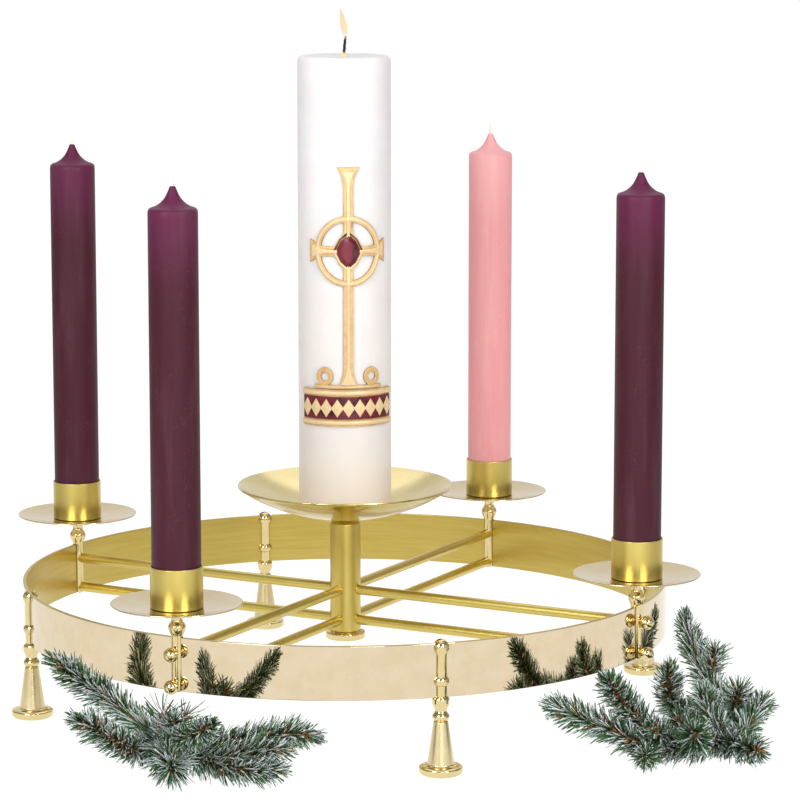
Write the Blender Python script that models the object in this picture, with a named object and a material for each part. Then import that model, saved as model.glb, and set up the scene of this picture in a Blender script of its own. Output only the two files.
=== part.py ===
"""Brass advent wreath: a ring on four turned legs, four candle holders on crossed rods,
a pillar candle on a centre pan, and two frosted pine sprays lying in front of the ring.

Units are metres and Z is up. The surface that the wreath stands on is Z = 0.
"""
import math
import random

import bmesh
import bpy
from mathutils import Matrix, Vector

# Ring of brass band
RING_OUTER_R = 0.2667
BAND_THICKNESS = 0.003
BAND_BOTTOM_Z = 0.060
BAND_TOP_Z = 0.1023
RING_SIDES = 64

# Places in the plan, seen from above
RING_CENTRE = (-0.0547, 0.0364)
ARM_COUNT = 4
ARM_PITCH = math.tau / ARM_COUNT
LEG_TURN = math.radians(45)
FRONT_TURN = math.radians(28.2)
EMBLEM_TURN = math.radians(33.5)

# Clearance between pieces, and how far a cutter runs past the face it cuts
FIT = 0.0003
OVERCUT = 0.005

# Rods and their ball nuts
ROD_R = 0.0040
ROD_LEVELS = (0.0645, 0.0899)
STUD_R = 0.0020
NUT_R = 0.00565
NUT_STAND_OFF = 0.0077

# Hub and centre pan
HUB_R = 0.0127
HUB_BOTTOM_Z = 0.0551
FLANGE_R = 0.0165
FLANGE_BOTTOM_Z = 0.0474
PAN_R = 0.0889
PAN_RIM_Z = 0.1766
PAN_DEPTH = 0.0270
PAN_SHEET = 0.0015
PAN_SEAT_R = 0.0100

# Centre candle
PILLAR_R = 0.0381
PILLAR_TOP_Z = 0.5315
PILLAR_WICK_R = 0.0013
PILLAR_WICK_TOP_Z = 0.5470

# Candle holders at the rim
HOLDER_PAN_R = 0.0508
HOLDER_PAN_Z = 0.1244
HOLDER_PAN_RIM_RISE = 0.0040
HOLDER_SHEET = 0.0012
SOCKET_R = 0.0204
SOCKET_WALL = 0.0010
SOCKET_FLOOR = 0.0020
SOCKET_TOP_Z = 0.1580
TAPER_R = 0.01905
TAPER_SHOULDER_Z = 0.4310
TAPER_TIP_Z = 0.4485
TAPER_WICK_R = 0.0010
TAPER_WICK_RISE = 0.0080
BORE_DEPTH = 0.0100
POST_R = 0.0046

# Legs
LEG_SHAFT_R = 0.0046
LEG_BEAD_R = 0.0065
LEG_SPLIT_Z = 0.0494
FOOT_R = 0.0169

# Emblem on the centre candle
EMBLEM_IN_R = PILLAR_R + FIT
EMBLEM_OUT_R = 0.0404
BAND_LOW_Z = 0.2326
BAND_HIGH_Z = 0.2629
BAND_SPAN = math.radians(122)
CROSS_FOOT_Z = BAND_HIGH_Z + 0.0008
CROSS_TOP_Z = 0.4440
CROSSING_Z = 0.3760
CROSS_REACH = 0.0345
HALO_R = (0.0240, 0.0288)
GEM_HALF = (0.0105, 0.0140)

# Pine sprays
NEEDLE_LENGTH = 0.0205
NEEDLE_SHARE = 0.32
TWIG_R = 0.0021
TWIG_SIDES = 5
RING_STEP = 0.0064
SPRAY_SEED = 41

# Each branch is a list of points laid out by hand, in a frame on the ring's axis that is
# turned by FRONT_TURN: X to the right of the front view, Y to the back, Z up.
LEFT_BRANCHES = {
    "long": [(-.139, -.262, .030), (-.154, -.240, .036), (-.173, -.228, .048), (-.195, -.227, .064),
             (-.220, -.236, .085)],
    "low": [(-.139, -.262, .030), (-.151, -.285, .028), (-.166, -.304, .038), (-.180, -.314, .050),
            (-.195, -.322, .060)],
    "front": [(-.139, -.262, .030), (-.131, -.295, .028), (-.125, -.325, .029), (-.123, -.345, .028)],
    "top": [(-.139, -.262, .030), (-.130, -.280, .039), (-.124, -.292, .051)],
    "raised": [(-.139, -.262, .030), (-.122, -.310, .040), (-.105, -.350, .056), (-.092, -.368, .068)],
    "right": [(-.139, -.262, .030), (-.113, -.268, .025), (-.083, -.275, .029), (-.059, -.280, .035),
              (-.036, -.284, .039), (-.018, -.286, .038)],
    "right_low": [(-.139, -.262, .030), (-.102, -.285, .019), (-.071, -.300, .016), (-.043, -.303, .016)],
}
RIGHT_BRANCHES = {
    "stem": [(.315, -.190, .014), (.295, -.215, .016), (.268, -.240, .017), (.242, -.250, .018)],
    "left": [(.242, -.250, .018), (.223, -.256, .027), (.203, -.254, .036), (.180, -.249, .044),
             (.160, -.240, .051)],
    "left_top": [(.242, -.250, .018), (.229, -.248, .039), (.214, -.256, .058), (.202, -.268, .077)],
    "tall": [(.315, -.190, .014), (.307, -.135, .018), (.294, -.092, .034), (.283, -.068, .057),
             (.278, -.050, .077)],
    "tall_side": [(.294, -.092, .034), (.298, -.098, .052), (.299, -.098, .062)],
    "middle": [(.307, -.135, .018), (.280, -.160, .020), (.258, -.174, .036), (.255, -.188, .068)],
    "front": [(.295, -.215, .016), (.308, -.240, .018), (.319, -.262, .020)],
    "right": [(.315, -.190, .014), (.322, -.170, .022), (.333, -.150, .031)],
    "inner": [(.295, -.215, .016), (.288, -.205, .030), (.282, -.200, .044)],
    "centre": [(.268, -.240, .017), (.269, -.262, .030), (.268, -.285, .040)],
    "centre_low": [(.242, -.250, .018), (.233, -.272, .019), (.230, -.290, .023)],
}


def clear_scene():
    for obj in list(bpy.data.objects):
        bpy.data.objects.remove(obj, do_unlink=True)


def make_material(name, colour, metallic, roughness):
    material = bpy.data.materials.new(name)
    material.use_nodes = True
    shader = material.node_tree.nodes["Principled BSDF"]
    shader.inputs["Base Color"].default_value = (*colour, 1.0)
    shader.inputs["Metallic"].default_value = metallic
    shader.inputs["Roughness"].default_value = roughness
    return material


def make_empty(name, location=(0, 0, 0), turn=0.0, parent=None):
    empty = bpy.data.objects.new(name, None)
    bpy.context.collection.objects.link(empty)
    empty.parent = parent
    empty.location = location
    empty.rotation_euler.z = turn
    return empty


def finish_mesh(name, bm, material, parent=None, location=(0, 0, 0), rotation=(0, 0, 0), smooth=True):
    """Turn a bmesh into a placed object with its faces pointing out."""
    bmesh.ops.recalc_face_normals(bm, faces=bm.faces)
    if bm.calc_volume(signed=True) < 0:
        bmesh.ops.reverse_faces(bm, faces=bm.faces)
    mesh = bpy.data.meshes.new(name)
    bm.to_mesh(mesh)
    bm.free()
    if smooth:
        mesh.shade_smooth()
        mesh.set_sharp_from_angle(angle=math.radians(35))
    return place_mesh(name, mesh, material, parent, location, rotation)


def place_mesh(name, mesh, material, parent=None, location=(0, 0, 0), rotation=(0, 0, 0)):
    obj = bpy.data.objects.new(name, mesh)
    bpy.context.collection.objects.link(obj)
    if material and not mesh.materials:
        mesh.materials.append(material)
    obj.parent = parent
    obj.location = location
    obj.rotation_euler = rotation
    return obj


def turned_bmesh(profile, sides, closed=False, angle=math.tau, first_angle=0.0):
    """Spin a profile of (radius, height) points about Z.

    An open profile starts and ends on the axis. A closed one is a loop off the axis. With an
    angle short of a full turn, the loop's two ends are capped.
    """
    bm = bmesh.new()
    start = Matrix.Rotation(first_angle, 3, "Z")
    points = [bm.verts.new(start @ Vector((radius, 0, height))) for radius, height in profile]
    edges = [bm.edges.new(pair) for pair in zip(points, points[1:])]
    if closed:
        edges.append(bm.edges.new((points[-1], points[0])))
    full = abs(angle - math.tau) < 1e-6
    geometry = points + edges
    if not full:
        geometry.append(bm.faces.new(points))
    result = bmesh.ops.spin(bm, geom=geometry, axis=(0, 0, 1), cent=(0, 0, 0), angle=angle, steps=sides,
                            use_duplicate=False, use_merge=full)
    if not full:
        ends = [item for item in result["geom_last"] if isinstance(item, bmesh.types.BMVert)]
        if not any(isinstance(item, bmesh.types.BMFace) for item in result["geom_last"]):
            bm.faces.new(ends)
    bmesh.ops.remove_doubles(bm, verts=bm.verts, dist=1e-6)
    return bm


def turned(name, profile, sides, material, closed=False, first_angle=0.0, **placing):
    bm = turned_bmesh(profile, sides, closed, first_angle=first_angle)
    return finish_mesh(name, bm, material, **placing)


def cut(obj, cutters):
    """Cut each cutter out of an object, and drop the cutters."""
    for cutter in cutters:
        cutter.hide_render = True
        cutter.display_type = "WIRE"
        modifier = obj.modifiers.new("cut", "BOOLEAN")
        modifier.object = cutter
        modifier.operation = "DIFFERENCE"
        modifier.solver = "EXACT"
    apply_modifiers(obj)
    for cutter in cutters:
        bpy.data.objects.remove(cutter, do_unlink=True)
    return obj


def apply_modifiers(obj):
    depsgraph = bpy.context.evaluated_depsgraph_get()
    depsgraph.update()
    mesh = bpy.data.meshes.new_from_object(obj.evaluated_get(depsgraph))
    mesh.name = obj.name
    obj.modifiers.clear()
    obj.data = mesh


def box_cutter(low, high, parent=None):
    bm = bmesh.new()
    bmesh.ops.create_cube(bm, size=1.0)
    for vert in bm.verts:
        vert.co = Vector([low[i] if vert.co[i] < 0 else high[i] for i in range(3)])
    return finish_mesh("cutter", bm, None, parent, smooth=False)


def bore_cutter(radius, start, end, height, turn=0.0, parent=None):
    """A round cutter that lies along the radius at an angle of turn, from start to end."""
    profile = [(0, start), (radius, start), (radius, end), (0, end)]
    bm = turned_bmesh(profile, 6, first_angle=math.pi / 6)
    bmesh.ops.transform(bm, matrix=Matrix.Rotation(math.pi / 2, 4, "Y"), verts=bm.verts)
    bmesh.ops.transform(bm, matrix=Matrix.Rotation(turn, 4, "Z"), verts=bm.verts)
    return finish_mesh("cutter", bm, None, parent, location=(0, 0, height), smooth=False)


# Sizes that follow from the driving ones
FLAT = math.cos(math.pi / RING_SIDES)
BAND_INNER_R = RING_OUTER_R - BAND_THICKNESS
BAND_MID_R = (RING_OUTER_R - BAND_THICKNESS / 2) * FLAT
SLOT_HALF = BAND_THICKNESS / 2 + FIT
BORE_R = STUD_R + FIT
NUT_CENTRE_R = RING_OUTER_R + NUT_STAND_OFF
NUT_FACE_R = BAND_MID_R + POST_R + FIT
ROD_START_R = HUB_R + FIT
ROD_END_R = BAND_MID_R - POST_R - FIT
ROD_STUD_INNER_R = 0.0065
BOWL_OUTER_R = (PAN_R ** 2 + PAN_DEPTH ** 2) / (2 * PAN_DEPTH)
BOWL_CENTRE_Z = PAN_RIM_Z - PAN_DEPTH + BOWL_OUTER_R
PAN_FLOOR_Z = PAN_RIM_Z - PAN_DEPTH + PAN_SHEET
PILLAR_BOTTOM_Z = BOWL_CENTRE_Z - math.sqrt((BOWL_OUTER_R - PAN_SHEET) ** 2 - PILLAR_R ** 2) + FIT
SOCKET_BOTTOM_Z = HOLDER_PAN_Z + HOLDER_SHEET + FIT
TAPER_BOTTOM_Z = SOCKET_BOTTOM_Z + SOCKET_FLOOR + FIT
HOLDER_STUD_R = 0.0025


def make_ring(root, brass):
    """The band, a faceted hoop whose flats carry the holders and the legs."""
    profile = [(BAND_INNER_R, BAND_BOTTOM_Z), (RING_OUTER_R, BAND_BOTTOM_Z),
               (RING_OUTER_R, BAND_TOP_Z), (BAND_INNER_R, BAND_TOP_Z)]
    ring = turned("ring", profile, RING_SIDES, brass, closed=True, first_angle=math.pi / RING_SIDES)
    start, end = BAND_INNER_R - OVERCUT, RING_OUTER_R + OVERCUT
    cut(ring, [bore_cutter(BORE_R, start, end, level, arm * ARM_PITCH)
               for arm in range(ARM_COUNT) for level in ROD_LEVELS])
    ring.parent = root


def make_hub(root, satin, polished):
    """The centre tube with its rod sockets, and the polished flange screwed under it."""
    flange_stud_r = 0.0040
    flange_stud_top = 0.0608
    spike_bore_r = HOLDER_STUD_R + FIT
    spike_bore_bottom = 0.1350
    seat_z = PAN_RIM_Z - PAN_DEPTH - FIT
    profile = [(0, spike_bore_bottom), (spike_bore_r, spike_bore_bottom), (spike_bore_r, seat_z),
               (0.0090, seat_z), (HUB_R, seat_z - 0.0035), (HUB_R, HUB_BOTTOM_Z),
               (flange_stud_r + FIT, HUB_BOTTOM_Z), (flange_stud_r + FIT, flange_stud_top + FIT),
               (0, flange_stud_top + FIT)]
    hub = turned("hub", profile, 16, satin, first_angle=math.pi / 16)
    cut(hub, [bore_cutter(BORE_R, ROD_STUD_INNER_R - FIT, HUB_R + OVERCUT, level, arm * ARM_PITCH)
              for arm in range(ARM_COUNT) for level in ROD_LEVELS])
    hub.parent = root
    top = HUB_BOTTOM_Z - FIT
    profile = [(0, flange_stud_top), (flange_stud_r, flange_stud_top), (flange_stud_r, top),
               (0.0135, top), (0.0158, top - 0.0012), (FLANGE_R, (top + FLANGE_BOTTOM_Z) / 2),
               (0.0158, FLANGE_BOTTOM_Z + 0.0012), (0.0135, FLANGE_BOTTOM_Z), (0, FLANGE_BOTTOM_Z)]
    turned("hub_flange", profile, 14, polished, parent=root)


def bowl_height(radius, sheet=0.0):
    """Height of the centre pan's spherical sheet at a radius: sheet 0 is its underside."""
    return BOWL_CENTRE_Z - math.sqrt((BOWL_OUTER_R - sheet) ** 2 - radius ** 2)


def make_centre_pan(root, satin):
    radii = (PILLAR_R, 0.066, PAN_R)
    hole_r = HOLDER_STUD_R + FIT
    inner = [(radius, bowl_height(radius, PAN_SHEET)) for radius in radii[:-1]]
    outer = [(radius, bowl_height(radius)) for radius in reversed(radii[:-1])]
    floor = PAN_RIM_Z - PAN_DEPTH
    profile = [(hole_r, floor + PAN_SHEET), (PAN_SEAT_R, floor + PAN_SHEET), *inner,
               (PAN_R - 0.0006, PAN_RIM_Z + 0.0010), (PAN_R, PAN_RIM_Z), *outer,
               (PAN_SEAT_R, floor), (hole_r, floor)]
    turned("centre_pan", profile, 26, satin, closed=True, parent=root)


def make_spike(root, brass):
    """The pricket: its stud clamps the pan to the hub, and its point holds the pillar candle."""
    shoulder_z = PAN_FLOOR_Z + FIT
    profile = [(0, 0.1850), (0.0022, 0.1740), (0.0025, shoulder_z + 0.0016), (0.0088, shoulder_z + 0.0016),
               (0.0088, shoulder_z), (HOLDER_STUD_R, shoulder_z), (HOLDER_STUD_R, 0.1353), (0, 0.1353)]
    turned("centre_spike", profile, 8, brass, parent=root)


def make_pillar(root, wax, wick):
    bore_r = PILLAR_WICK_R + FIT
    bore_z = PILLAR_TOP_Z - BORE_DEPTH - 0.0012
    profile = [(0, bore_z), (bore_r, bore_z), (bore_r, PILLAR_TOP_Z - 0.0012),
               (0.0335, PILLAR_TOP_Z), (0.0368, PILLAR_TOP_Z - 0.0007), (PILLAR_R, PILLAR_TOP_Z - 0.0032),
               (PILLAR_R, PILLAR_BOTTOM_Z), (0.0032, PILLAR_BOTTOM_Z), (0.0026, 0.1800), (0, 0.1900)]
    turned("centre_candle", profile, 28, wax, parent=root)
    make_wick("centre_wick", PILLAR_WICK_R, bore_z + FIT, PILLAR_WICK_TOP_Z, (0.0012, 0.0005), wick, root)


def make_wick(name, radius, bottom, top, lean, material, parent, location=(0, 0, 0)):
    """A wick that stands straight in its bore and leans a little above it."""
    free = bottom + BORE_DEPTH
    profile = [(0, bottom), (radius, bottom), (radius, free), (radius * 0.9, (free + top) / 2),
               (radius * 0.6, top), (0, top)]
    bm = turned_bmesh(profile, 6)
    for vert in bm.verts:
        rise = max(0.0, (vert.co.z - free) / (top - free))
        vert.co.x += lean[0] * rise ** 1.5
        vert.co.y += lean[1] * rise ** 1.5
    return finish_mesh(name, bm, material, parent, location)


def make_rods(arm_frames, satin):
    """Two rods on each arm. A thin stud at each end enters the hub and runs out to the ball nut."""
    profile = [(0, ROD_STUD_INNER_R), (STUD_R, ROD_STUD_INNER_R), (STUD_R, ROD_START_R), (ROD_R, ROD_START_R),
               (ROD_R, ROD_END_R), (STUD_R, ROD_END_R), (STUD_R, NUT_CENTRE_R - FIT), (0, NUT_CENTRE_R - FIT)]
    for arm, frame in enumerate(arm_frames):
        for level, height in zip(("low", "high"), ROD_LEVELS):
            turned(f"rod_{arm}_{level}", profile, 8, satin, first_angle=math.pi / 8, parent=frame,
                   location=(0, 0, height), rotation=(0, math.pi / 2, 0))


def make_nuts(arm_frames, polished):
    """Ball nuts outside the band, each with a flat face and a blind bore."""
    face = NUT_FACE_R - NUT_CENTRE_R
    face_r = math.sqrt(NUT_R ** 2 - face ** 2)
    latitudes = (0, 35, 70)
    arc = [(NUT_R * math.cos(math.radians(a)), NUT_R * math.sin(math.radians(a))) for a in latitudes]
    profile = [(0, NUT_R), *reversed(arc), (face_r, face), (BORE_R, face), (BORE_R, 0.0004), (0, 0.0004)]
    for arm, frame in enumerate(arm_frames):
        for level, height in zip(("low", "high"), ROD_LEVELS):
            turned(f"ball_nut_{arm}_{level}", profile, 8, polished, parent=frame,
                   location=(NUT_CENTRE_R, 0, height), rotation=(0, math.pi / 2, 0))


def make_holder(arm, frame, materials, wax):
    """Post, pan, socket, candle and wick at the outer end of an arm."""
    place = {"parent": frame, "location": (BAND_MID_R, 0, 0)}
    make_post(f"holder_post_{arm}", materials["polished"], place)
    hole_r = HOLDER_STUD_R + FIT
    top = HOLDER_PAN_Z + HOLDER_SHEET
    rim = top + HOLDER_PAN_RIM_RISE
    profile = [(hole_r, top), (0.0240, top + 0.0002), (HOLDER_PAN_R - 0.0004, rim),
               (HOLDER_PAN_R, rim - HOLDER_SHEET), (0.0245, HOLDER_PAN_Z), (hole_r, HOLDER_PAN_Z)]
    turned(f"holder_pan_{arm}", profile, 20, materials["satin"], closed=True, **place)
    inner_r = SOCKET_R - SOCKET_WALL
    floor = SOCKET_BOTTOM_Z + SOCKET_FLOOR
    profile = [(hole_r, floor), (inner_r, floor), (inner_r, SOCKET_TOP_Z), (SOCKET_R, SOCKET_TOP_Z),
               (SOCKET_R, SOCKET_BOTTOM_Z), (hole_r, SOCKET_BOTTOM_Z)]
    turned(f"socket_{arm}", profile, 14, materials["satin"], closed=True, **place)
    bore_r = TAPER_WICK_R + FIT
    profile = [(0, TAPER_TIP_Z - BORE_DEPTH), (bore_r, TAPER_TIP_Z - BORE_DEPTH), (bore_r, TAPER_TIP_Z),
               (0.0026, TAPER_TIP_Z - 0.0012), (0.0070, TAPER_SHOULDER_Z + 0.0070),
               (0.0136, TAPER_SHOULDER_Z + 0.0020), (0.0172, TAPER_SHOULDER_Z + 0.0008),
               (TAPER_R, TAPER_SHOULDER_Z - 0.0018), (TAPER_R, TAPER_BOTTOM_Z), (0, TAPER_BOTTOM_Z)]
    turned(f"candle_{arm}", profile, 14, wax, **place)
    lean_angle = math.radians(70 + 110 * arm)
    lean = (0.0014 * math.cos(lean_angle), 0.0014 * math.sin(lean_angle))
    wick_bottom, wick_top = TAPER_TIP_Z - BORE_DEPTH + FIT, TAPER_TIP_Z + TAPER_WICK_RISE
    make_wick(f"wick_{arm}", TAPER_WICK_R, wick_bottom, wick_top, lean, materials["wick"], **place)


def make_post(name, polished, place):
    """A turned post whose lower half is slotted over the band."""
    neck_z = HOLDER_PAN_Z - FIT
    profile = [(0, neck_z + 0.0033), (HOLDER_STUD_R, neck_z + 0.0033), (HOLDER_STUD_R, neck_z),
               (0.0050, neck_z), (0.0044, 0.1195), (0.0048, 0.1140), (0.0068, 0.1100), (0.0064, 0.1060),
               (POST_R, 0.1032), (POST_R, 0.0605), (0.0030, 0.0592), (0, 0.0590)]
    post = turned(name, profile, 10, polished, first_angle=math.pi / 10)
    slot = box_cutter((-SLOT_HALF, -0.02, 0), (SLOT_HALF, 0.02, BAND_TOP_Z + FIT))
    bores = [bore_cutter(BORE_R, -0.02, 0.02, level) for level in ROD_LEVELS]
    cut(post, [slot, *bores])
    post.parent = place["parent"]
    post.location = place["location"]


def make_leg(index, frame, polished, satin):
    """A slotted finial that carries the band, and the cone and foot screwed on below it."""
    stud_r = 0.0025
    stud_low = 0.0390
    slot_z = BAND_BOTTOM_Z - FIT
    profile = [(0, 0.1047), (0.0042, 0.1030), (LEG_BEAD_R - 0.0001, 0.0985), (LEG_SHAFT_R, 0.0932),
               (LEG_SHAFT_R, 0.0765), (LEG_BEAD_R, 0.0740), (LEG_BEAD_R, 0.0715), (LEG_SHAFT_R, 0.0690),
               (LEG_SHAFT_R, 0.0608), (0.0064, slot_z - 0.0006), (0.0067, 0.0560), (0.0043, 0.0522),
               (0.0043, LEG_SPLIT_Z), (stud_r, LEG_SPLIT_Z), (stud_r, stud_low), (0, stud_low)]
    finial = turned(f"leg_finial_{index}", profile, 10, polished, first_angle=math.pi / 10)
    cut(finial, [box_cutter((-SLOT_HALF, -0.02, slot_z), (SLOT_HALF, 0.02, 0.12))])
    finial.parent = frame
    finial.location = (BAND_MID_R, 0, 0)
    top = LEG_SPLIT_Z - FIT
    profile = [(0, stud_low - FIT), (stud_r + FIT, stud_low - FIT), (stud_r + FIT, top), (0.0045, top),
               (0.0067, 0.0465), (0.0067, 0.0437), (0.0056, 0.0417), (0.0102, 0.0073), (0.0152, 0.0066),
               (FOOT_R, 0.0042), (FOOT_R - 0.0006, 0), (0, 0)]
    turned(f"leg_foot_{index}", profile, 14, satin, parent=frame, location=(BAND_MID_R, 0, 0))


def wrap_on_candle(bm, turn):
    """Bend a flat design round the candle: X becomes the arc, and -Y stands out from the wax."""
    for vert in bm.verts:
        radius = EMBLEM_IN_R - vert.co.y
        angle = vert.co.x / EMBLEM_OUT_R + turn
        vert.co = Vector((radius * math.sin(angle), -radius * math.cos(angle), vert.co.z))


def slice_upright(bm, places):
    """Split a flat design along upright lines, so that it can bend between them."""
    for x in places:
        everything = list(bm.verts) + list(bm.edges) + list(bm.faces)
        bmesh.ops.bisect_plane(bm, geom=everything, plane_co=(x, 0, 0), plane_no=(1, 0, 0))


def flat_prism(outline, depth, near=0.0):
    """A prism of a flat (x, z) outline, from near to near + depth out of the wax."""
    bm = bmesh.new()
    face = bm.faces.new([bm.verts.new((x, -near, z)) for x, z in outline])
    result = bmesh.ops.extrude_face_region(bm, geom=[face])
    verts = [item for item in result["geom"] if isinstance(item, bmesh.types.BMVert)]
    bmesh.ops.translate(bm, verts=verts, vec=(0, -depth, 0))
    return bm


def flat_ring(middle_x, middle_z, radii, sides, depth):
    """A flat upright ring in the plane of the design."""
    inner, outer = radii
    bm = turned_bmesh([(inner, 0), (outer, 0), (outer, depth), (inner, depth)], sides, True, math.tau,
                      math.pi / sides)
    upright = Matrix.Translation((middle_x, 0, middle_z)) @ Matrix.Rotation(math.pi / 2, 4, "X")
    bmesh.ops.transform(bm, matrix=upright, verts=bm.verts)
    return bm


def gem_outline(scale):
    """An upright eight-sided stone round the crossing."""
    half_x, half_z = (scale * half for half in GEM_HALF)
    shoulder = 0.6
    quarter = [(0, -half_z), (shoulder * half_x, -shoulder * half_z), (half_x, 0),
               (shoulder * half_x, shoulder * half_z)]
    return [(sign * x, CROSSING_Z + sign * z) for sign in (1, -1) for x, z in quarter]


def cross_pieces(depth):
    """The cross's upright, arms, halo, stone plate and plinth, and the roundels beside its foot."""
    half_width, half_flare, half_foot = 0.0040, 0.0095, 0.0105
    foot, top = CROSS_FOOT_Z, CROSS_TOP_Z
    upright = [(-half_foot, foot), (half_foot, foot), (half_width, foot + 0.016), (half_width, top - 0.018),
               (half_flare, top), (-half_flare, top), (-half_width, top - 0.018), (-half_width, foot + 0.016)]
    arm = [(CROSS_REACH, half_flare), (HALO_R[0] - 0.004, half_width)]
    right = [(x, CROSSING_Z - z) for x, z in reversed(arm)] + [(x, CROSSING_Z + z) for x, z in arm]
    left = [(-x, CROSSING_Z + z) for x, z in reversed(arm)] + [(-x, CROSSING_Z - z) for x, z in arm]
    half, plinth_top = 0.0300, foot + 0.0030
    plinth = [(-half, foot), (half, foot), (half, plinth_top), (-half, plinth_top)]
    pieces = [flat_prism(upright, depth), flat_prism(right + left, depth), flat_prism(plinth, depth),
              flat_prism(gem_outline(1.25), depth), flat_ring(0, CROSSING_Z, HALO_R, 18, depth)]
    roundel_x, roundel_r = 0.0205, (0.0036, 0.0076)
    roundel_z = plinth_top + roundel_r[1] - 0.0008
    pieces += [flat_ring(x, roundel_z, roundel_r, 10, depth) for x in (-roundel_x, roundel_x)]
    return pieces


def make_emblem(root, gold, red):
    """A ringed cross with a red stone, standing on a moulded band with a row of lozenges."""
    turn = EMBLEM_TURN
    depth = EMBLEM_OUT_R - EMBLEM_IN_R
    pieces = [finish_mesh("emblem_cross", bm, gold if k == 0 else None, smooth=False)
              for k, bm in enumerate(cross_pieces(depth))]
    cross = pieces[0]
    join(cross, pieces[1:])
    bm = bmesh.new()
    bm.from_mesh(cross.data)
    slice_upright(bm, [step * 0.0080 for step in range(-4, 5)])
    wrap_on_candle(bm, turn)
    bmesh.ops.triangulate(bm, faces=bm.faces)
    bm.to_mesh(cross.data)
    bm.free()
    cross.parent = root

    bm = flat_prism(gem_outline(1.0), 0.0022, near=depth + FIT)
    for vert in bm.verts:
        if vert.co.y < -(depth + 0.0010):
            vert.co.x *= 0.62
            vert.co.z = CROSSING_Z + (vert.co.z - CROSSING_Z) * 0.66
    slice_upright(bm, [-0.0063, 0, 0.0063])
    wrap_on_candle(bm, turn)
    bmesh.ops.triangulate(bm, faces=bm.faces)
    finish_mesh("emblem_gem", bm, red, root, smooth=False)

    first = turn - BAND_SPAN / 2 - math.pi / 2
    back_r = EMBLEM_IN_R + 0.0010
    ledge = 0.0058
    lip_r = 0.0406
    roll_r = 0.0416
    steps = 10
    profile = [(EMBLEM_IN_R, BAND_LOW_Z), (lip_r, BAND_LOW_Z), (roll_r, BAND_LOW_Z + ledge / 2),
               (lip_r, BAND_LOW_Z + ledge - 0.0006), (back_r, BAND_LOW_Z + ledge),
               (back_r, BAND_HIGH_Z - ledge), (lip_r, BAND_HIGH_Z - ledge + 0.0006),
               (roll_r, BAND_HIGH_Z - ledge / 2), (lip_r, BAND_HIGH_Z), (EMBLEM_IN_R, BAND_HIGH_Z)]
    finish_mesh("emblem_band", turned_bmesh(profile, steps, True, BAND_SPAN, first), gold, root)
    ground_in, ground_out = back_r + FIT, back_r + FIT + 0.0006
    low, high = BAND_LOW_Z + ledge + FIT, BAND_HIGH_Z - ledge - FIT
    inset = math.radians(1.0)
    profile = [(ground_in, low), (ground_out, low), (ground_out, high), (ground_in, high)]
    finish_mesh("emblem_ground", turned_bmesh(profile, steps, True, BAND_SPAN - 2 * inset, first + inset),
                red, root)
    inset *= 2
    make_lozenges(root, gold, ground_out + FIT, first + inset, BAND_SPAN - 2 * inset, (low + high) / 2,
                  (high - low) / 2 - 0.0016)


def make_lozenges(root, gold, radius, first, span, middle, half_height):
    """A chain of lozenges, joined at their tips, standing out from the red ground."""
    count = 9
    neck = 0.0007
    depth = 0.0007
    pitch = span / count
    bm = bmesh.new()
    columns = []
    for station in range(2 * count + 1):
        angle = first + station * pitch / 2
        half = half_height if station % 2 else neck
        corners = [(radius, -half), (radius + depth, -half), (radius + depth, half), (radius, half)]
        outward = Vector((math.cos(angle), math.sin(angle), 0))
        columns.append([bm.verts.new(outward * r + Vector((0, 0, middle + z))) for r, z in corners])
    for near, far in zip(columns, columns[1:]):
        for i in range(4):
            bm.faces.new((near[i], near[(i + 1) % 4], far[(i + 1) % 4], far[i]))
    bm.faces.new(columns[0])
    bm.faces.new(columns[-1])
    finish_mesh("emblem_lozenges", bm, gold, root, smooth=False)


def join(obj, others):
    """Fuse other objects into one by a single union, and drop them."""
    group = bpy.data.collections.new("union")
    bpy.context.scene.collection.children.link(group)
    for other in others:
        for holder in list(other.users_collection):
            holder.objects.unlink(other)
        group.objects.link(other)
    modifier = obj.modifiers.new("union", "BOOLEAN")
    modifier.operand_type = "COLLECTION"
    modifier.collection = group
    modifier.operation = "UNION"
    modifier.solver = "EXACT"
    modifier.use_self = True
    apply_modifiers(obj)
    for other in others:
        bpy.data.objects.remove(other, do_unlink=True)
    bpy.data.collections.remove(group)


def smooth_path(points, spacing):
    """Points read off a Catmull-Rom curve through the given ones."""
    knots = [Vector(point) for point in points]
    knots = [2 * knots[0] - knots[1], *knots, 2 * knots[-1] - knots[-2]]
    path = []
    for p0, p1, p2, p3 in zip(knots, knots[1:], knots[2:], knots[3:]):
        steps = max(1, round((p2 - p1).length / spacing))
        for step in range(steps):
            t = step / steps
            path.append(0.5 * (2 * p1 + (p2 - p0) * t + (2 * p0 - 5 * p1 + 4 * p2 - p3) * t ** 2
                               + (3 * p1 - p0 - 3 * p2 + p3) * t ** 3))
    path.append(knots[-2])
    return path


def side_vectors(direction):
    """Two unit vectors square to a direction and to each other."""
    helper = Vector((0, 0, 1)) if abs(direction.z) < 0.9 else Vector((1, 0, 0))
    across = direction.cross(helper).normalized()
    return across, direction.cross(across).normalized()


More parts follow.
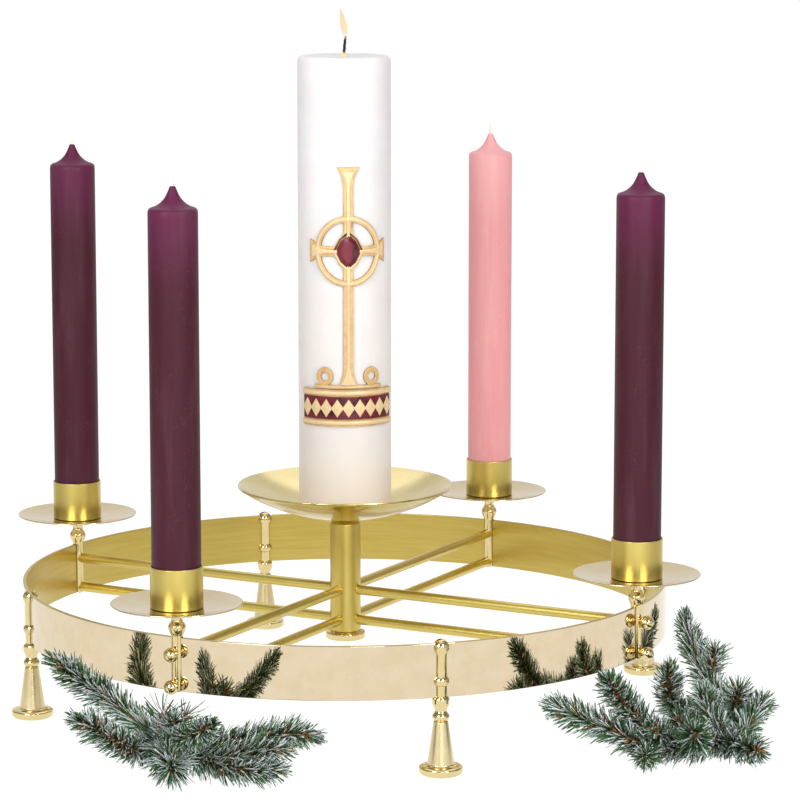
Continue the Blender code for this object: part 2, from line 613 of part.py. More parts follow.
def branch_bmesh(points, rng):
    """A slim five-sided twig whose skin of small triangles is drawn out into needles here and there."""
    path = smooth_path(points, RING_STEP)
    last = len(path) - 1
    bm = bmesh.new()
    loops = []
    directions = []
    for i, point in enumerate(path):
        direction = (path[min(i + 1, last)] - path[max(i - 1, 0)]).normalized()
        across, up = side_vectors(direction)
        radius = TWIG_R * (1 - 0.4 * i / last)
        turns = [math.tau * (k + i / 2) / TWIG_SIDES for k in range(TWIG_SIDES)]
        spokes = [across * math.cos(a) + up * math.sin(a) for a in turns]
        loops.append([bm.verts.new(point + radius * spoke) for spoke in spokes])
        directions.append(direction)
    for i, (near, far) in enumerate(zip(loops, loops[1:])):
        middle = path[i].lerp(path[i + 1], 0.5)
        for k in range(TWIG_SIDES):
            nxt = (k + 1) % TWIG_SIDES
            for corners in ((near[k], near[nxt], far[k]), (near[nxt], far[nxt], far[k])):
                add_skin(bm, corners, middle, directions[i], i / last, rng)
    bm.faces.new(loops[0])
    close_tip(bm, loops[-1], path[-1] + directions[-1] * NEEDLE_LENGTH * 0.8)
    return bm


def add_skin(bm, corners, middle, direction, along, rng):
    """One triangle of a twig's skin, flat or drawn out into a three-sided needle."""
    root = (corners[0].co + corners[1].co + corners[2].co) / 3
    outward = root - middle
    outward = (outward - direction * outward.dot(direction)).normalized()
    lean = math.radians(rng.uniform(46, 56)) * (1 - 0.5 * along ** 6)
    reach = NEEDLE_LENGTH * rng.uniform(0.85, 1.15)
    tip = root + reach * (direction * math.cos(lean) + outward * math.sin(lean))
    tip.z = max(tip.z, 0.0)
    is_needle = rng.random() < NEEDLE_SHARE and along > 0.04
    if not is_needle or any(near_stand(root.lerp(tip, k / 6)) for k in range(1, 7)):
        bm.faces.new(corners)
        return
    close_tip(bm, corners, tip)


def close_tip(bm, corners, tip):
    point = bm.verts.new(tip)
    for near, far in zip(corners, (*corners[1:], corners[0])):
        bm.faces.new((near, far, point))


def near_stand(point):
    """Whether a point, in the front view's frame, lies in or right beside the brass stand."""
    radius = math.hypot(point.x, point.y)
    margin = 0.0012
    beside_band = BAND_INNER_R - margin < radius < RING_OUTER_R + margin
    if beside_band and BAND_BOTTOM_Z - margin < point.z < BAND_TOP_Z + margin:
        return True
    for index in range(2 * ARM_COUNT):
        angle = index * LEG_TURN - FRONT_TURN
        off = math.hypot(point.x - BAND_MID_R * math.cos(angle), point.y - BAND_MID_R * math.sin(angle))
        if index % 2:
            cone_top, foot_top, cone_r = 0.042, 0.008, 0.0105
            reach = LEG_BEAD_R if point.z > cone_top else cone_r
            if off < (FOOT_R if point.z < foot_top else reach) + margin:
                return True
        elif point.z > BAND_BOTTOM_Z - 0.004 and off < 2 * NUT_R + POST_R + margin:
            return True
    return False


def make_spray(name, branches, frame, material):
    """A frosted pine spray: branches fused into one body that lies on the surface."""
    rng = random.Random(SPRAY_SEED)
    pieces = [finish_mesh("branch", branch_bmesh(points, rng), None, smooth=False)
              for points in branches.values()]
    spray = pieces[0]
    spray.name = name
    join(spray, pieces[1:])
    drop_scraps(spray)
    spray.data.materials.clear()
    spray.data.materials.append(material)
    spray.parent = frame


def drop_scraps(obj):
    """Keep only the largest connected body of a mesh."""
    bm = bmesh.new()
    bm.from_mesh(obj.data)
    unseen = set(bm.verts)
    bodies = []
    while unseen:
        stack = [unseen.pop()]
        body = set(stack)
        while stack:
            for edge in stack.pop().link_edges:
                for vert in edge.verts:
                    if vert in unseen:
                        unseen.discard(vert)
                        body.add(vert)
                        stack.append(vert)
        bodies.append(body)
    largest = max(bodies, key=len)
    bmesh.ops.delete(bm, geom=[vert for vert in bm.verts if vert not in largest], context="VERTS")
    bm.to_mesh(obj.data)
    bm.free()


def main():
    clear_scene()
    materials = {
        "satin": make_material("satin_brass", (0.62, 0.46, 0.14), 1.0, 0.38),
        "polished": make_material("polished_brass", (0.78, 0.62, 0.30), 1.0, 0.12),
        "wick": make_material("cotton_wick", (0.80, 0.72, 0.58), 0.0, 0.90),
    }
    white_wax = make_material("white_wax", (0.88, 0.84, 0.80), 0.0, 0.45)
    purple_wax = make_material("purple_wax", (0.10, 0.02, 0.06), 0.0, 0.40)
    pink_wax = make_material("pink_wax", (0.75, 0.33, 0.33), 0.0, 0.40)
    burnt_wick = make_material("burnt_wick", (0.02, 0.02, 0.02), 0.0, 0.95)
    gold_relief = make_material("gold_relief", (0.65, 0.42, 0.20), 0.0, 0.50)
    red_relief = make_material("red_relief", (0.20, 0.005, 0.02), 0.0, 0.35)
    pine = make_material("frosted_pine", (0.10, 0.20, 0.14), 0.0, 0.75)

    root = make_empty("ring_axis", (*RING_CENTRE, 0))
    arm_frames = [make_empty(f"arm_frame_{k}", turn=k * ARM_PITCH, parent=root) for k in range(ARM_COUNT)]
    leg_frames = [make_empty(f"leg_frame_{k}", turn=LEG_TURN + k * ARM_PITCH, parent=root)
                  for k in range(ARM_COUNT)]
    front = make_empty("front_frame", turn=FRONT_TURN, parent=root)

    make_ring(root, materials["polished"])
    make_hub(root, materials["satin"], materials["polished"])
    make_centre_pan(root, materials["satin"])
    make_spike(root, materials["satin"])
    make_pillar(root, white_wax, burnt_wick)
    make_emblem(root, gold_relief, red_relief)
    make_rods(arm_frames, materials["satin"])
    make_nuts(arm_frames, materials["polished"])
    pink_arm = 1
    for arm, frame in enumerate(arm_frames):
        make_holder(arm, frame, materials, pink_wax if arm == pink_arm else purple_wax)
    for index, frame in enumerate(leg_frames):
        make_leg(index, frame, materials["polished"], materials["satin"])
    make_spray("pine_spray_left", LEFT_BRANCHES, front, pine)
    make_spray("pine_spray_right", RIGHT_BRANCHES, front, pine)


main()
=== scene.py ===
"""Finished look of a brass advent wreath: smooth turned brass, wax candles, a moulded emblem,
two frosted pine sprays, a pale floor, soft studio light and the camera.

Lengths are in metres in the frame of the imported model, with Z up.
"""
import math
import random

import bmesh
import bpy
from mathutils import Matrix, Vector


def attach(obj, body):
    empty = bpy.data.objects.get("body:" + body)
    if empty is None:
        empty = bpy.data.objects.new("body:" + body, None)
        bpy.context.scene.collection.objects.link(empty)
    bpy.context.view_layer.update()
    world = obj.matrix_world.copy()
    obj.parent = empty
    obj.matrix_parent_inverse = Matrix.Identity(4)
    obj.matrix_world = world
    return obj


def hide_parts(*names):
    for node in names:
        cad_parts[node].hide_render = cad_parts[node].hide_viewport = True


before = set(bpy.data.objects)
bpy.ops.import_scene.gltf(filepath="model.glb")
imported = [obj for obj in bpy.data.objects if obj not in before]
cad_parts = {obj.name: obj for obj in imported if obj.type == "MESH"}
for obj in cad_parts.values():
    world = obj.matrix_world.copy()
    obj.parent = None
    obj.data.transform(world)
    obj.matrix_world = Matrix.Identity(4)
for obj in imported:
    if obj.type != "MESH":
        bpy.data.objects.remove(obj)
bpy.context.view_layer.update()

# Plan of the stand
RING_AXIS = Vector((-0.0547, 0.0364, 0.0))
FRONT_TURN = math.radians(28.2)
ARM_TURNS = [math.radians(90 * k) for k in range(4)]
LEG_TURNS = [math.radians(45 + 90 * k) for k in range(4)]
PINK_ARM = 1

# Band, posts and rods
BAND_MIDDLE_R = 0.26495
BAND_HALF = 0.0015
BAND_LOW_Z = 0.0600
BAND_HIGH_Z = 0.1023
POST_PLACE_R = 0.26488
POST_R = 0.0046
ROD_R = 0.0040
ROD_HEIGHTS = {"low": 0.0645, "high": 0.0899}
NUT_R = 0.00565
NUT_PLACE_R = 0.2744
SLOT_HALF = 0.0018
SLOT_REACH = 0.02

# Hub and centre pan
HUB_R = 0.0127
HUB_LOW_Z = 0.0551
HUB_HIGH_Z = 0.1493
BOWL_R = 0.0889
BOWL_RIM_Z = 0.1766
BOWL_DEPTH = 0.0270
BOWL_SHEET = 0.0015

# Thick candle and its emblem
THICK_R = 0.0381
THICK_TOP_Z = 0.5315
THICK_WICK_TOP_Z = 0.5470
FLAME_TOP_Z = 0.5708
EMBLEM_TURN = math.radians(33.5)
EMBLEM_BACK_R = THICK_R + 0.0003
EMBLEM_FACE_R = 0.0404
MOULDING_LOW_Z = 0.2326
MOULDING_HIGH_Z = 0.2629
MOULDING_SPAN = math.radians(122)
CROSS_FOOT_Z = MOULDING_HIGH_Z + 0.0008
CROSS_TOP_Z = 0.4440
CROSSING_Z = 0.3760
CROSS_REACH = 0.0345
HALO_R = (0.0240, 0.0288)
STONE_HALF = (0.0105, 0.0140)
ROUNDEL_X = 0.0205
ROUNDEL_R = (0.0036, 0.0076)

# Holders and their candles
PAN_R = 0.0508
PAN_FLOOR_Z = 0.1244
PAN_SHEET = 0.0012
PAN_RIM_Z = 0.1296
SOCKET_R = 0.0204
SOCKET_LOW_Z = 0.1259
SOCKET_HIGH_Z = 0.1580
CANDLE_R = 0.01905
CANDLE_LOW_Z = 0.1282
CANDLE_SHOULDER_Z = 0.4310
CANDLE_TIP_Z = 0.4485
WICK_RISE = 0.0080

# Studio light, as strengths against a white of 1
DIM_ROOM = 0.12
LOW_WALL = 0.65
PAPER_BEHIND = 0.74
PAPER_ABOVE = 0.40

# Polished brass: name, deeper and paler tone, roughness
BRIGHT_BRASS = [
    ("mirror", (0.680, 0.560, 0.370), (0.720, 0.605, 0.430), 0.012),
    ("polished", (0.700, 0.570, 0.270), (0.755, 0.625, 0.330), 0.040),
    # spun: the bowl's underside, a deeper tone than the inside that is painted shade
    ("spun", (0.460, 0.335, 0.030), (0.510, 0.380, 0.055), 0.090),
    ("pan", (0.670, 0.540, 0.315), (0.720, 0.590, 0.365), 0.090),
    ("dish", (0.690, 0.570, 0.280), (0.740, 0.620, 0.330), 0.110),
    ("cone", (0.700, 0.575, 0.310), (0.760, 0.640, 0.390), 0.170),
]
# Finished materials by name
LOOKS = {}

# Pine sprays, in a frame on the ring's axis that is turned by FRONT_TURN
TWIG_R = 0.0019
NEEDLE_LENGTH = 0.0180
NEEDLE_WIDTH = 0.0013
NEEDLES_PER_METRE = 8500
BROWN_SHARE = 0.16
LOWEST_TIP_Z = 0.0006
TWIG_STEP = 0.0020
GOLDEN_ANGLE = 2.39996
SPRAY_SEED = 41
LEFT_BRANCHES = {
    "long": [(-.139, -.262, .030), (-.154, -.240, .036), (-.173, -.228, .048), (-.195, -.227, .064),
             (-.220, -.236, .085)],
    "low": [(-.139, -.262, .030), (-.151, -.285, .028), (-.166, -.304, .038), (-.180, -.314, .050),
            (-.195, -.322, .060)],
    "star": [(-.139, -.262, .030), (-.131, -.295, .028), (-.125, -.325, .029), (-.123, -.345, .028)],
    "top": [(-.139, -.262, .030), (-.130, -.280, .039), (-.124, -.292, .051)],
    "raised": [(-.139, -.262, .030), (-.122, -.310, .040), (-.105, -.350, .056), (-.092, -.368, .068)],
    "right": [(-.139, -.262, .030), (-.113, -.268, .025), (-.083, -.275, .029), (-.059, -.280, .035),
              (-.036, -.284, .039), (-.018, -.286, .038)],
    "right_low": [(-.139, -.262, .030), (-.102, -.285, .019), (-.071, -.300, .016), (-.043, -.303, .016)],
}
RIGHT_BRANCHES = {
    "stem": [(.315, -.190, .014), (.295, -.215, .016), (.268, -.240, .017), (.242, -.250, .018)],
    "left": [(.242, -.250, .018), (.223, -.256, .027), (.203, -.254, .036), (.180, -.249, .044),
             (.160, -.240, .051)],
    "left_top": [(.242, -.250, .018), (.229, -.248, .039), (.214, -.256, .058), (.202, -.268, .077)],
    "tall": [(.315, -.190, .014), (.307, -.135, .018), (.294, -.092, .034), (.283, -.068, .057),
             (.278, -.050, .077)],
    "tall_side": [(.294, -.092, .034), (.298, -.098, .052), (.299, -.098, .062)],
    "middle": [(.307, -.135, .018), (.280, -.160, .020), (.258, -.174, .036), (.255, -.188, .068)],
    "front": [(.295, -.215, .016), (.308, -.240, .018), (.319, -.262, .020)],
    "right": [(.315, -.190, .014), (.322, -.170, .022), (.333, -.150, .031)],
    "inner": [(.295, -.215, .016), (.288, -.205, .030), (.282, -.200, .044)],
    "centre": [(.268, -.240, .017), (.269, -.262, .030), (.268, -.285, .040)],
    "centre_low": [(.242, -.250, .018), (.233, -.272, .019), (.230, -.290, .023)],
}
LEFT_TUFTS = [[(-.136, -.282, .046), (-.133, -.283, .057)], [(-.119, -.284, .046), (-.116, -.285, .056)]]
LEFT_FILLERS = [[(-.110, -.278, .021), (-.085, -.290, .023), (-.060, -.294, .028), (-.040, -.296, .030)]]
RIGHT_FILLERS = [
    [(.262, -.238, .016), (.248, -.246, .026), (.238, -.256, .036)],
    [(.285, -.205, .016), (.270, -.214, .024), (.258, -.222, .034)],
    [(.300, -.170, .018), (.287, -.184, .034), (.281, -.196, .048)],
    [(.310, -.150, .018), (.313, -.158, .044)],
]
# How a branch differs from the rest
HABITS = {
    "low": {"frosting": 0.48},
    "star": {"frosting": 0.50, "length": 1.30},
    "top": {"frosting": 0.65},
    "raised": {"frosting": 0.40, "length": 0.85, "density": 0.85},
    "right_low": {"frosting": 0.48},
    "stem": {"frosting": 0.52},
    "tall": {"frosting": 0.44},
    "tall_side": {"frosting": 0.80, "density": 0.60},
    "middle": {"frosting": 0.44},
    "centre": {"frosting": 0.30},
    "centre_low": {"length": 0.80},
}


# Shader sums
class Wire:
    """A socket of a finish. A sum written with wires adds its Math nodes."""

    def __init__(self, finish, socket):
        self.finish = finish
        self.socket = socket

    def maths(self, operation, *values):
        return self.finish.node("Math", {"operation": operation}, values)

    def other(self, output):
        """Another output of the same node."""
        return Wire(self.finish, self.socket.node.outputs[output])

    def __add__(self, value):
        return self.maths("ADD", self, value)

    __radd__ = __add__

    def __sub__(self, value):
        return self.maths("SUBTRACT", self, value)

    def __rsub__(self, value):
        return self.maths("SUBTRACT", value, self)

    def __mul__(self, value):
        return self.maths("MULTIPLY", self, value)

    __rmul__ = __mul__

    def __truediv__(self, value):
        return self.maths("DIVIDE", self, value)

    def __pow__(self, value):
        return self.maths("POWER", self, value)

    def between(self, low, high):
        """0 below low, 1 above high, and smooth in between."""
        kind = {"interpolation_type": "SMOOTHSTEP"}
        return self.finish.node("MapRange", kind, {"Value": self, "From Min": low, "From Max": high})


class Air:
    """Nodes in a tree, for the studio's light and for every finish."""

    def __init__(self, tree):
        self.tree = tree

    def feed(self, socket, value):
        if isinstance(value, Wire):
            self.tree.links.new(value.socket, socket)
        elif socket.type == "RGBA":
            socket.default_value = (*value, 1.0)
        else:
            socket.default_value = value

    def node(self, kind, settings=None, values=(), output=0):
        """Add a node of any type. Settings come first, then the values or wires of its sockets."""
        made = self.tree.nodes.new("ShaderNode" + kind)
        for name, value in (settings or {}).items():
            setattr(made, name, value)
        pairs = values.items() if isinstance(values, dict) else enumerate(values)
        for key, value in pairs:
            self.feed(made.inputs[key], value)
        return Wire(self, made.outputs[output])

    def blend(self, amount, first, second):
        """Mix two colours."""
        return self.node("Mix", {"data_type": "RGBA"}, {0: amount, 6: first, 7: second}, 2)

    def axes(self, vector):
        split = self.node("SeparateXYZ", None, (vector,))
        return split, split.other("Y"), split.other("Z")


class Finish(Air):
    """A node material on one Principled shader."""

    def __init__(self, name, **constants):
        self.material = bpy.data.materials.new(name)
        self.material.use_nodes = True
        super().__init__(self.material.node_tree)
        self.shader = self.tree.nodes["Principled BSDF"]
        self.set(**constants)

    def place(self):
        return self.node("TexCoord", output="Object")

    def noise(self, vector, scale, detail=3.0, roughness=0.5):
        return self.node("TexNoise", None, {"Vector": vector, "Scale": scale, "Detail": detail,
                                            "Roughness": roughness})

    def grain(self, along, across):
        """Fine lines that run round the piece's own axis: along repeats per radian, across per metre."""
        x, y, z = self.axes(self.place())
        radius = (x * x + y * y) ** 0.5 + 1e-5
        lines = self.node("CombineXYZ", None, (x / radius * along, y / radius * along,
                                               (z + radius * 0.8) * across))
        return self.noise(lines, 1.0, 4.0, 0.65)

    def set(self, **sockets):
        for socket, value in sockets.items():
            self.feed(self.shader.inputs[socket.replace("_", " ")], value)

    def bump(self, height, strength, distance):
        values = {"Height": height, "Strength": strength, "Distance": distance}
        self.set(Normal=self.node("Bump", None, values))


# Finishes
def satin_brass():
    """Lacquered brass with the fine lines of a belt or a lathe running round it."""
    finish = Finish("satin_brass", Metallic=1.0, Coat_Weight=0.2, Coat_Roughness=0.30, Coat_IOR=1.5)
    lines = finish.grain(3.0, 2600.0)
    cloud = finish.noise(finish.place(), 22.0, 3.0)
    tone = finish.blend(cloud.between(0.35, 0.68), (0.600, 0.465, 0.105), (0.650, 0.515, 0.140))
    finish.set(Base_Color=finish.blend(lines.between(0.25, 0.8) * 0.25, tone, (0.72, 0.59, 0.22)))
    finish.set(Roughness=0.28 + lines * 0.08 + cloud * 0.05)
    finish.bump(lines, 0.07, 0.00012)
    return finish.material


def brushed_band():
    """The inside of the band: long brushed lines along it."""
    finish = Finish("brushed_band_brass", Metallic=1.0, Coat_Weight=0.3, Coat_Roughness=0.36, Coat_IOR=1.5)
    lines = finish.grain(9.0, 1500.0)
    broad = finish.grain(4.0, 260.0)
    tone = finish.blend(broad.between(0.3, 0.7), (0.500, 0.370, 0.070), (0.560, 0.425, 0.100))
    finish.set(Base_Color=finish.blend(lines.between(0.3, 0.8) * 0.25, tone, (0.72, 0.58, 0.20)))
    finish.set(Roughness=0.28 + lines * 0.12)
    finish.bump(lines, 0.09, 0.00015)
    return finish.material


def bright_brass(name, low, high, roughness):
    """Polished brass with faint wipe marks under the lacquer."""
    finish = Finish(name, Metallic=1.0)
    wipes = finish.noise(finish.place(), 60.0, 5.0, 0.6)
    fine = finish.grain(6.0, 900.0)
    finish.set(Base_Color=finish.blend(wipes.between(0.3, 0.75), low, high))
    finish.set(Roughness=roughness + wipes * roughness + fine * roughness * 0.6)
    return finish.material


def dyed_wax(name, deep, high, bloom, painted_top_light):
    """Smooth dyed wax with bloom and small scuffs, painted lighter towards the thin top as if light passed
    through it.
    """
    finish = Finish(name, Subsurface_Weight=0.12, Subsurface_Scale=0.006, IOR=1.40, Specular_IOR_Level=0.35)
    place = finish.place()
    x, y, z = finish.axes(place)
    # Painted light: the colour goes from deep to high towards the thin top, as if light shone through the wax
    # there.
    rise = z.between(CANDLE_SHOULDER_Z - 0.075, CANDLE_SHOULDER_Z + 0.006)
    body = finish.blend(rise * painted_top_light, deep, high)
    streaks = finish.noise(finish.node("CombineXYZ", None, (x * 95.0, y * 95.0, z * 9.0)), 1.0, 4.0, 0.6)
    body = finish.blend(streaks.between(0.42, 0.72) * 0.32, body, bloom)
    specks = finish.node("TexVoronoi", None, {"Vector": place, "Scale": 210.0})
    patches = finish.noise(place, 55.0, 2.0).between(0.50, 0.66)
    dust = finish.noise(place, 420.0, 3.0, 0.7).between(0.50, 0.74)
    body = finish.blend(dust * patches * 0.45, body, bloom)
    body = finish.blend((1.0 - specks.between(0.05, 0.14)) * patches * 0.6, body, bloom)
    finish.set(Base_Color=body, Roughness=0.36 + streaks * 0.22)
    finish.bump(finish.noise(place, 140.0, 3.0), 0.10, 0.0004)
    return finish.material


def white_wax():
    """White wax with tiny pits, painted warmer towards the brass pan as its reflected light."""
    finish = Finish("white_wax", Subsurface_Weight=0.25, Subsurface_Scale=0.012, Roughness=0.42, IOR=1.44)
    place = finish.place()
    height = finish.axes(place)[2]
    # Painted reflection: warm light from the brass pan, strong near the foot of the candle and fading out by
    # mid height.
    low = 1.0 - height.between(0.160, 0.235)
    painted_pan_light = 1.0 - height.between(0.250, 0.500)
    mottle = finish.noise(place, 34.0, 4.0, 0.6)
    body = finish.blend(mottle.between(0.35, 0.75), (0.730, 0.708, 0.714), (0.775, 0.756, 0.762))
    body = finish.blend(painted_pan_light * 0.5, body, (0.830, 0.760, 0.700))
    finish.set(Base_Color=finish.blend(low * 0.75, body, (0.880, 0.780, 0.665)))
    pits = finish.node("TexVoronoi", None, {"Vector": place, "Scale": 260.0}).between(0.06, 0.20)
    finish.bump(pits * 0.5 + mottle * 0.5, 0.12, 0.0004)
    return finish.material


def gold_relief():
    """Moulded wax painted a soft gold, paler on the highest raised places, and painted dark brown in its low
    places as shade.
    """
    finish = Finish("gold_relief", Metallic=0.25, IOR=1.46)
    place = finish.place()
    x, y, _ = finish.axes(place)
    depth = (x * x + y * y) ** 0.5
    mottle = finish.noise(place, 230.0, 4.0, 0.6)
    paint = finish.blend(mottle.between(0.3, 0.72), (0.620, 0.390, 0.160), (0.740, 0.500, 0.240))
    low = 1.0 - depth.between(EMBLEM_BACK_R, EMBLEM_FACE_R - 0.0001)
    raised_paler = depth.between(EMBLEM_FACE_R + 0.0001, EMBLEM_FACE_R + 0.0010)
    paint = finish.blend(raised_paler * 0.7, paint, (0.850, 0.660, 0.400))
    # Painted shade: dark brown fills the low places of the relief, deepest against the wax.
    paint = finish.blend(low * 0.85, paint, (0.230, 0.110, 0.030))
    finish.set(Base_Color=paint, Roughness=0.34 + mottle * 0.16)
    finish.bump(mottle, 0.18, 0.0004)
    return finish.material


def red_relief():
    """Deep red glossy wax with a faintly hammered face."""
    finish = Finish("red_relief", Coat_Weight=0.2, Coat_Roughness=0.15, IOR=1.45)
    place = finish.place()
    dents = finish.node("TexVoronoi", {"feature": "SMOOTH_F1"}, {"Vector": place, "Scale": 430.0})
    cloud = finish.noise(place, 120.0, 3.0)
    finish.set(Base_Color=finish.blend(cloud.between(0.3, 0.7), (0.060, 0.001, 0.007), (0.180, 0.004, 0.020)))
    finish.set(Roughness=0.22 + cloud * 0.15)
    finish.bump(dents, 0.35, 0.0003)
    return finish.material


def cotton_wick():
    finish = Finish("cotton_wick", Roughness=0.85)
    strands = finish.noise(finish.place(), 1500.0, 3.0)
    finish.set(Base_Color=finish.blend(strands, (0.740, 0.660, 0.520), (0.930, 0.890, 0.800)))
    finish.bump(strands, 0.5, 0.0002)
    return finish.material


def burnt_wick():
    """Charred cotton, still glowing yellow where it leaves the wax."""
    finish = Finish("burnt_wick", Roughness=0.90, Emission_Strength=1.0)
    height = finish.axes(finish.place())[2]
    ember = 1.0 - height.between(THICK_TOP_Z + 0.0006, THICK_TOP_Z + 0.0036)
    soot = finish.noise(finish.place(), 900.0, 3.0)
    black = finish.blend(soot, (0.004, 0.004, 0.004), (0.022, 0.018, 0.016))
    finish.set(Base_Color=finish.blend(ember, black, (0.800, 0.480, 0.120)))
    finish.set(Emission_Color=finish.blend(ember, (0.0, 0.0, 0.0), (0.550, 0.260, 0.040)))
    finish.bump(soot, 0.6, 0.0003)
    return finish.material


def candle_flame():
    """A pale flame in full daylight: clear at its root, peach in the middle, yellow on one side."""
    finish = Finish("candle_flame", Roughness=1.0, Emission_Strength=1.0)
    x, y, z = finish.axes(finish.place())
    root = z.between(THICK_WICK_TOP_Z - 0.003, THICK_WICK_TOP_Z + 0.008)
    tip = z.between(FLAME_TOP_Z - 0.010, FLAME_TOP_Z)
    side = (x * 0.88 + y * 0.47).between(-0.002, 0.003)
    body = finish.blend(side, (1.000, 0.720, 0.520), (1.000, 0.800, 0.420))
    glow = finish.blend(tip, finish.blend(root, (0.950, 0.800, 0.780), body), (1.000, 0.700, 0.620))
    finish.set(Base_Color=(0.0, 0.0, 0.0), Emission_Color=glow, Specular_IOR_Level=0.0)
    finish.set(Alpha=0.35 + root * 0.50 - tip * 0.25)
    return finish.material


def pine_needle():
    """Plastic needles: U of their map runs from root to tip, V is how much frost a needle took."""
    finish = Finish("frosted_pine_needle", IOR=1.46, Specular_IOR_Level=0.4)
    along, frost, _ = finish.axes(finish.node("UVMap", {"uv_map": "needle"}))
    place = finish.place()
    clump = finish.noise(place, 60.0, 2.0).between(0.35, 0.65)
    tint = finish.noise(place, 480.0, 2.0).between(0.32, 0.68)
    green = finish.blend(clump * 0.45 + tint * 0.55, (0.008, 0.026, 0.009), (0.078, 0.200, 0.062))
    # Painted shade: each needle darkens towards its root, deep inside the spray.
    green = finish.blend((1.0 - along.between(0.0, 0.75)) * 0.92, green, (0.003, 0.006, 0.003))
    green = finish.blend(1.0 - frost.between(0.03, 0.06), green, (0.420, 0.200, 0.055))
    green = finish.blend(frost.between(0.50, 0.95) * 0.40, green, (0.130, 0.260, 0.200))
    flecks = finish.noise(place, 900.0, 3.0, 0.7)
    cover = (frost + along * 0.25 + flecks * 0.70).between(0.98, 1.16) * along.between(0.10, 0.50)
    finish.set(Base_Color=finish.blend(cover, green, (0.680, 0.730, 0.740)))
    finish.set(Roughness=0.40 + cover * 0.30)
    return finish.material


def twig_bark():
    """The brown wound wire that the needles are caught in."""
    finish = Finish("pine_twig", Roughness=0.7)
    turns = finish.noise(finish.place(), 700.0, 3.0)
    brown = finish.blend(turns.between(0.35, 0.65), (0.090, 0.035, 0.010), (0.420, 0.190, 0.045))
    finish.set(Base_Color=brown)
    finish.bump(turns, 0.6, 0.0005)
    return finish.material


def pale_floor():
    """White paper that runs back from the wreath and falls off into the room at both sides."""
    finish = Finish("pale_floor", Roughness=0.75, Specular_IOR_Level=0.0, Emission_Strength=0.97)
    x, y, _ = finish.axes(finish.place())
    across = x * math.cos(FRONT_TURN) + y * math.sin(FRONT_TURN)
    back = y * math.cos(FRONT_TURN) - x * math.sin(FRONT_TURN)
    side = finish.node("Math", {"operation": "ABSOLUTE"}, (across,)) - back.maths("MAXIMUM", back, 0.0) * 0.14
    white = 1.0 - side.between(0.62, 1.00) * 0.60
    finish.set(Base_Color=(0.13, 0.13, 0.13))
    finish.set(Emission_Color=finish.node("CombineXYZ", None, (white, white, white)))
    return finish.material


# Turned and spun pieces
def bow(start, corner, end, steps):
    """Points of a soft curve from start to end that is pulled towards corner."""
    shares = [k / steps for k in range(steps + 1)]
    return [start.lerp(corner, share).lerp(corner.lerp(end, share), share) for share in shares]


def eased(profile, loop=False, steps=4, guard=0.00025):
    """A profile with rounded corners. Each point is (radius, height) or (radius, height, rounding).

    A guard point on each side of a rounding keeps the long faces flat in their shading.
    """
    points = []
    count = len(profile)
    for i, (radius, height, *rounding) in enumerate(profile):
        corner = Vector((radius, height))
        inside = loop or 0 < i < count - 1
        if not rounding or not inside:
            points.append(corner)
            continue
        back = Vector(profile[i - 1][:2]) - corner
        ahead = Vector(profile[(i + 1) % count][:2]) - corner
        reach = min(rounding[0], back.length * 0.42, ahead.length * 0.42)
        start = corner + back.normalized() * reach
        end = corner + ahead.normalized() * reach
        if back.length > 4 * reach:
            points.append(start + back.normalized() * guard)
        points += bow(start, corner, end, steps)
        if ahead.length > 4 * reach:
            points.append(end + ahead.normalized() * guard)
    return points


def flowing(knots, spacing):
    """Points read off a Catmull-Rom curve through the given ones."""
    knots = [Vector(knot) for knot in knots]
    knots = [2 * knots[0] - knots[1], *knots, 2 * knots[-1] - knots[-2]]
    path = []
    for p0, p1, p2, p3 in zip(knots, knots[1:], knots[2:], knots[3:]):
        steps = max(1, round((p2 - p1).length / spacing))
        for step in range(steps):
            t = step / steps
            path.append(0.5 * (2 * p1 + (p2 - p0) * t + (2 * p0 - 5 * p1 + 4 * p2 - p3) * t ** 2
                               + (3 * p1 - p0 - 3 * p2 + p3) * t ** 3))
    path.append(knots[-2])
    return path


def bead(middle_z, radius, half_height, shaft_r, steps=10):
    """The round of a bead on a shaft, from its upper edge to its lower."""
    edge = math.acos(min(1.0, shaft_r / radius))
    turns = [edge - 2 * edge * k / steps for k in range(steps + 1)]
    rise = half_height / math.sin(edge)
    return [Vector((radius * math.cos(a), middle_z + rise * math.sin(a))) for a in turns]


def spin(profile, sides, loop=False, span=math.tau, first=0.0):
    """Vertices and faces of a profile turned about Z, with each face's middle of its profile edge."""
    full = span > math.tau - 1e-6
    columns = sides if full else sides + 1
    verts = []
    rows = []
    for radius, height in profile:
        if radius < 1e-7:
            rows.append([len(verts)] * columns)
            verts.append((0.0, 0.0, height))
            continue
        rows.append(list(range(len(verts), len(verts) + columns)))
        for column in range(columns):
            angle = first + span * column / sides
            verts.append((radius * math.cos(angle), radius * math.sin(angle), height))
    faces = []
    spots = []
    pairs = list(zip(rows, rows[1:], profile, profile[1:]))
    if loop:
        pairs.append((rows[-1], rows[0], profile[-1], profile[0]))
    for near, far, low, high in pairs:
        for column in range(sides):
            nxt = (column + 1) % columns
            corners = (near[column], near[nxt], far[nxt], far[column])
            faces.append(tuple(dict.fromkeys(corners)))
            spots.append(((low[0] + high[0]) / 2, (low[1] + high[1]) / 2))
    if not full:
        faces.append(tuple(row[0] for row in rows))
        faces.append(tuple(row[-1] for row in rows))
        spots += [(0.0, 0.0)] * 2
    return verts, faces, spots


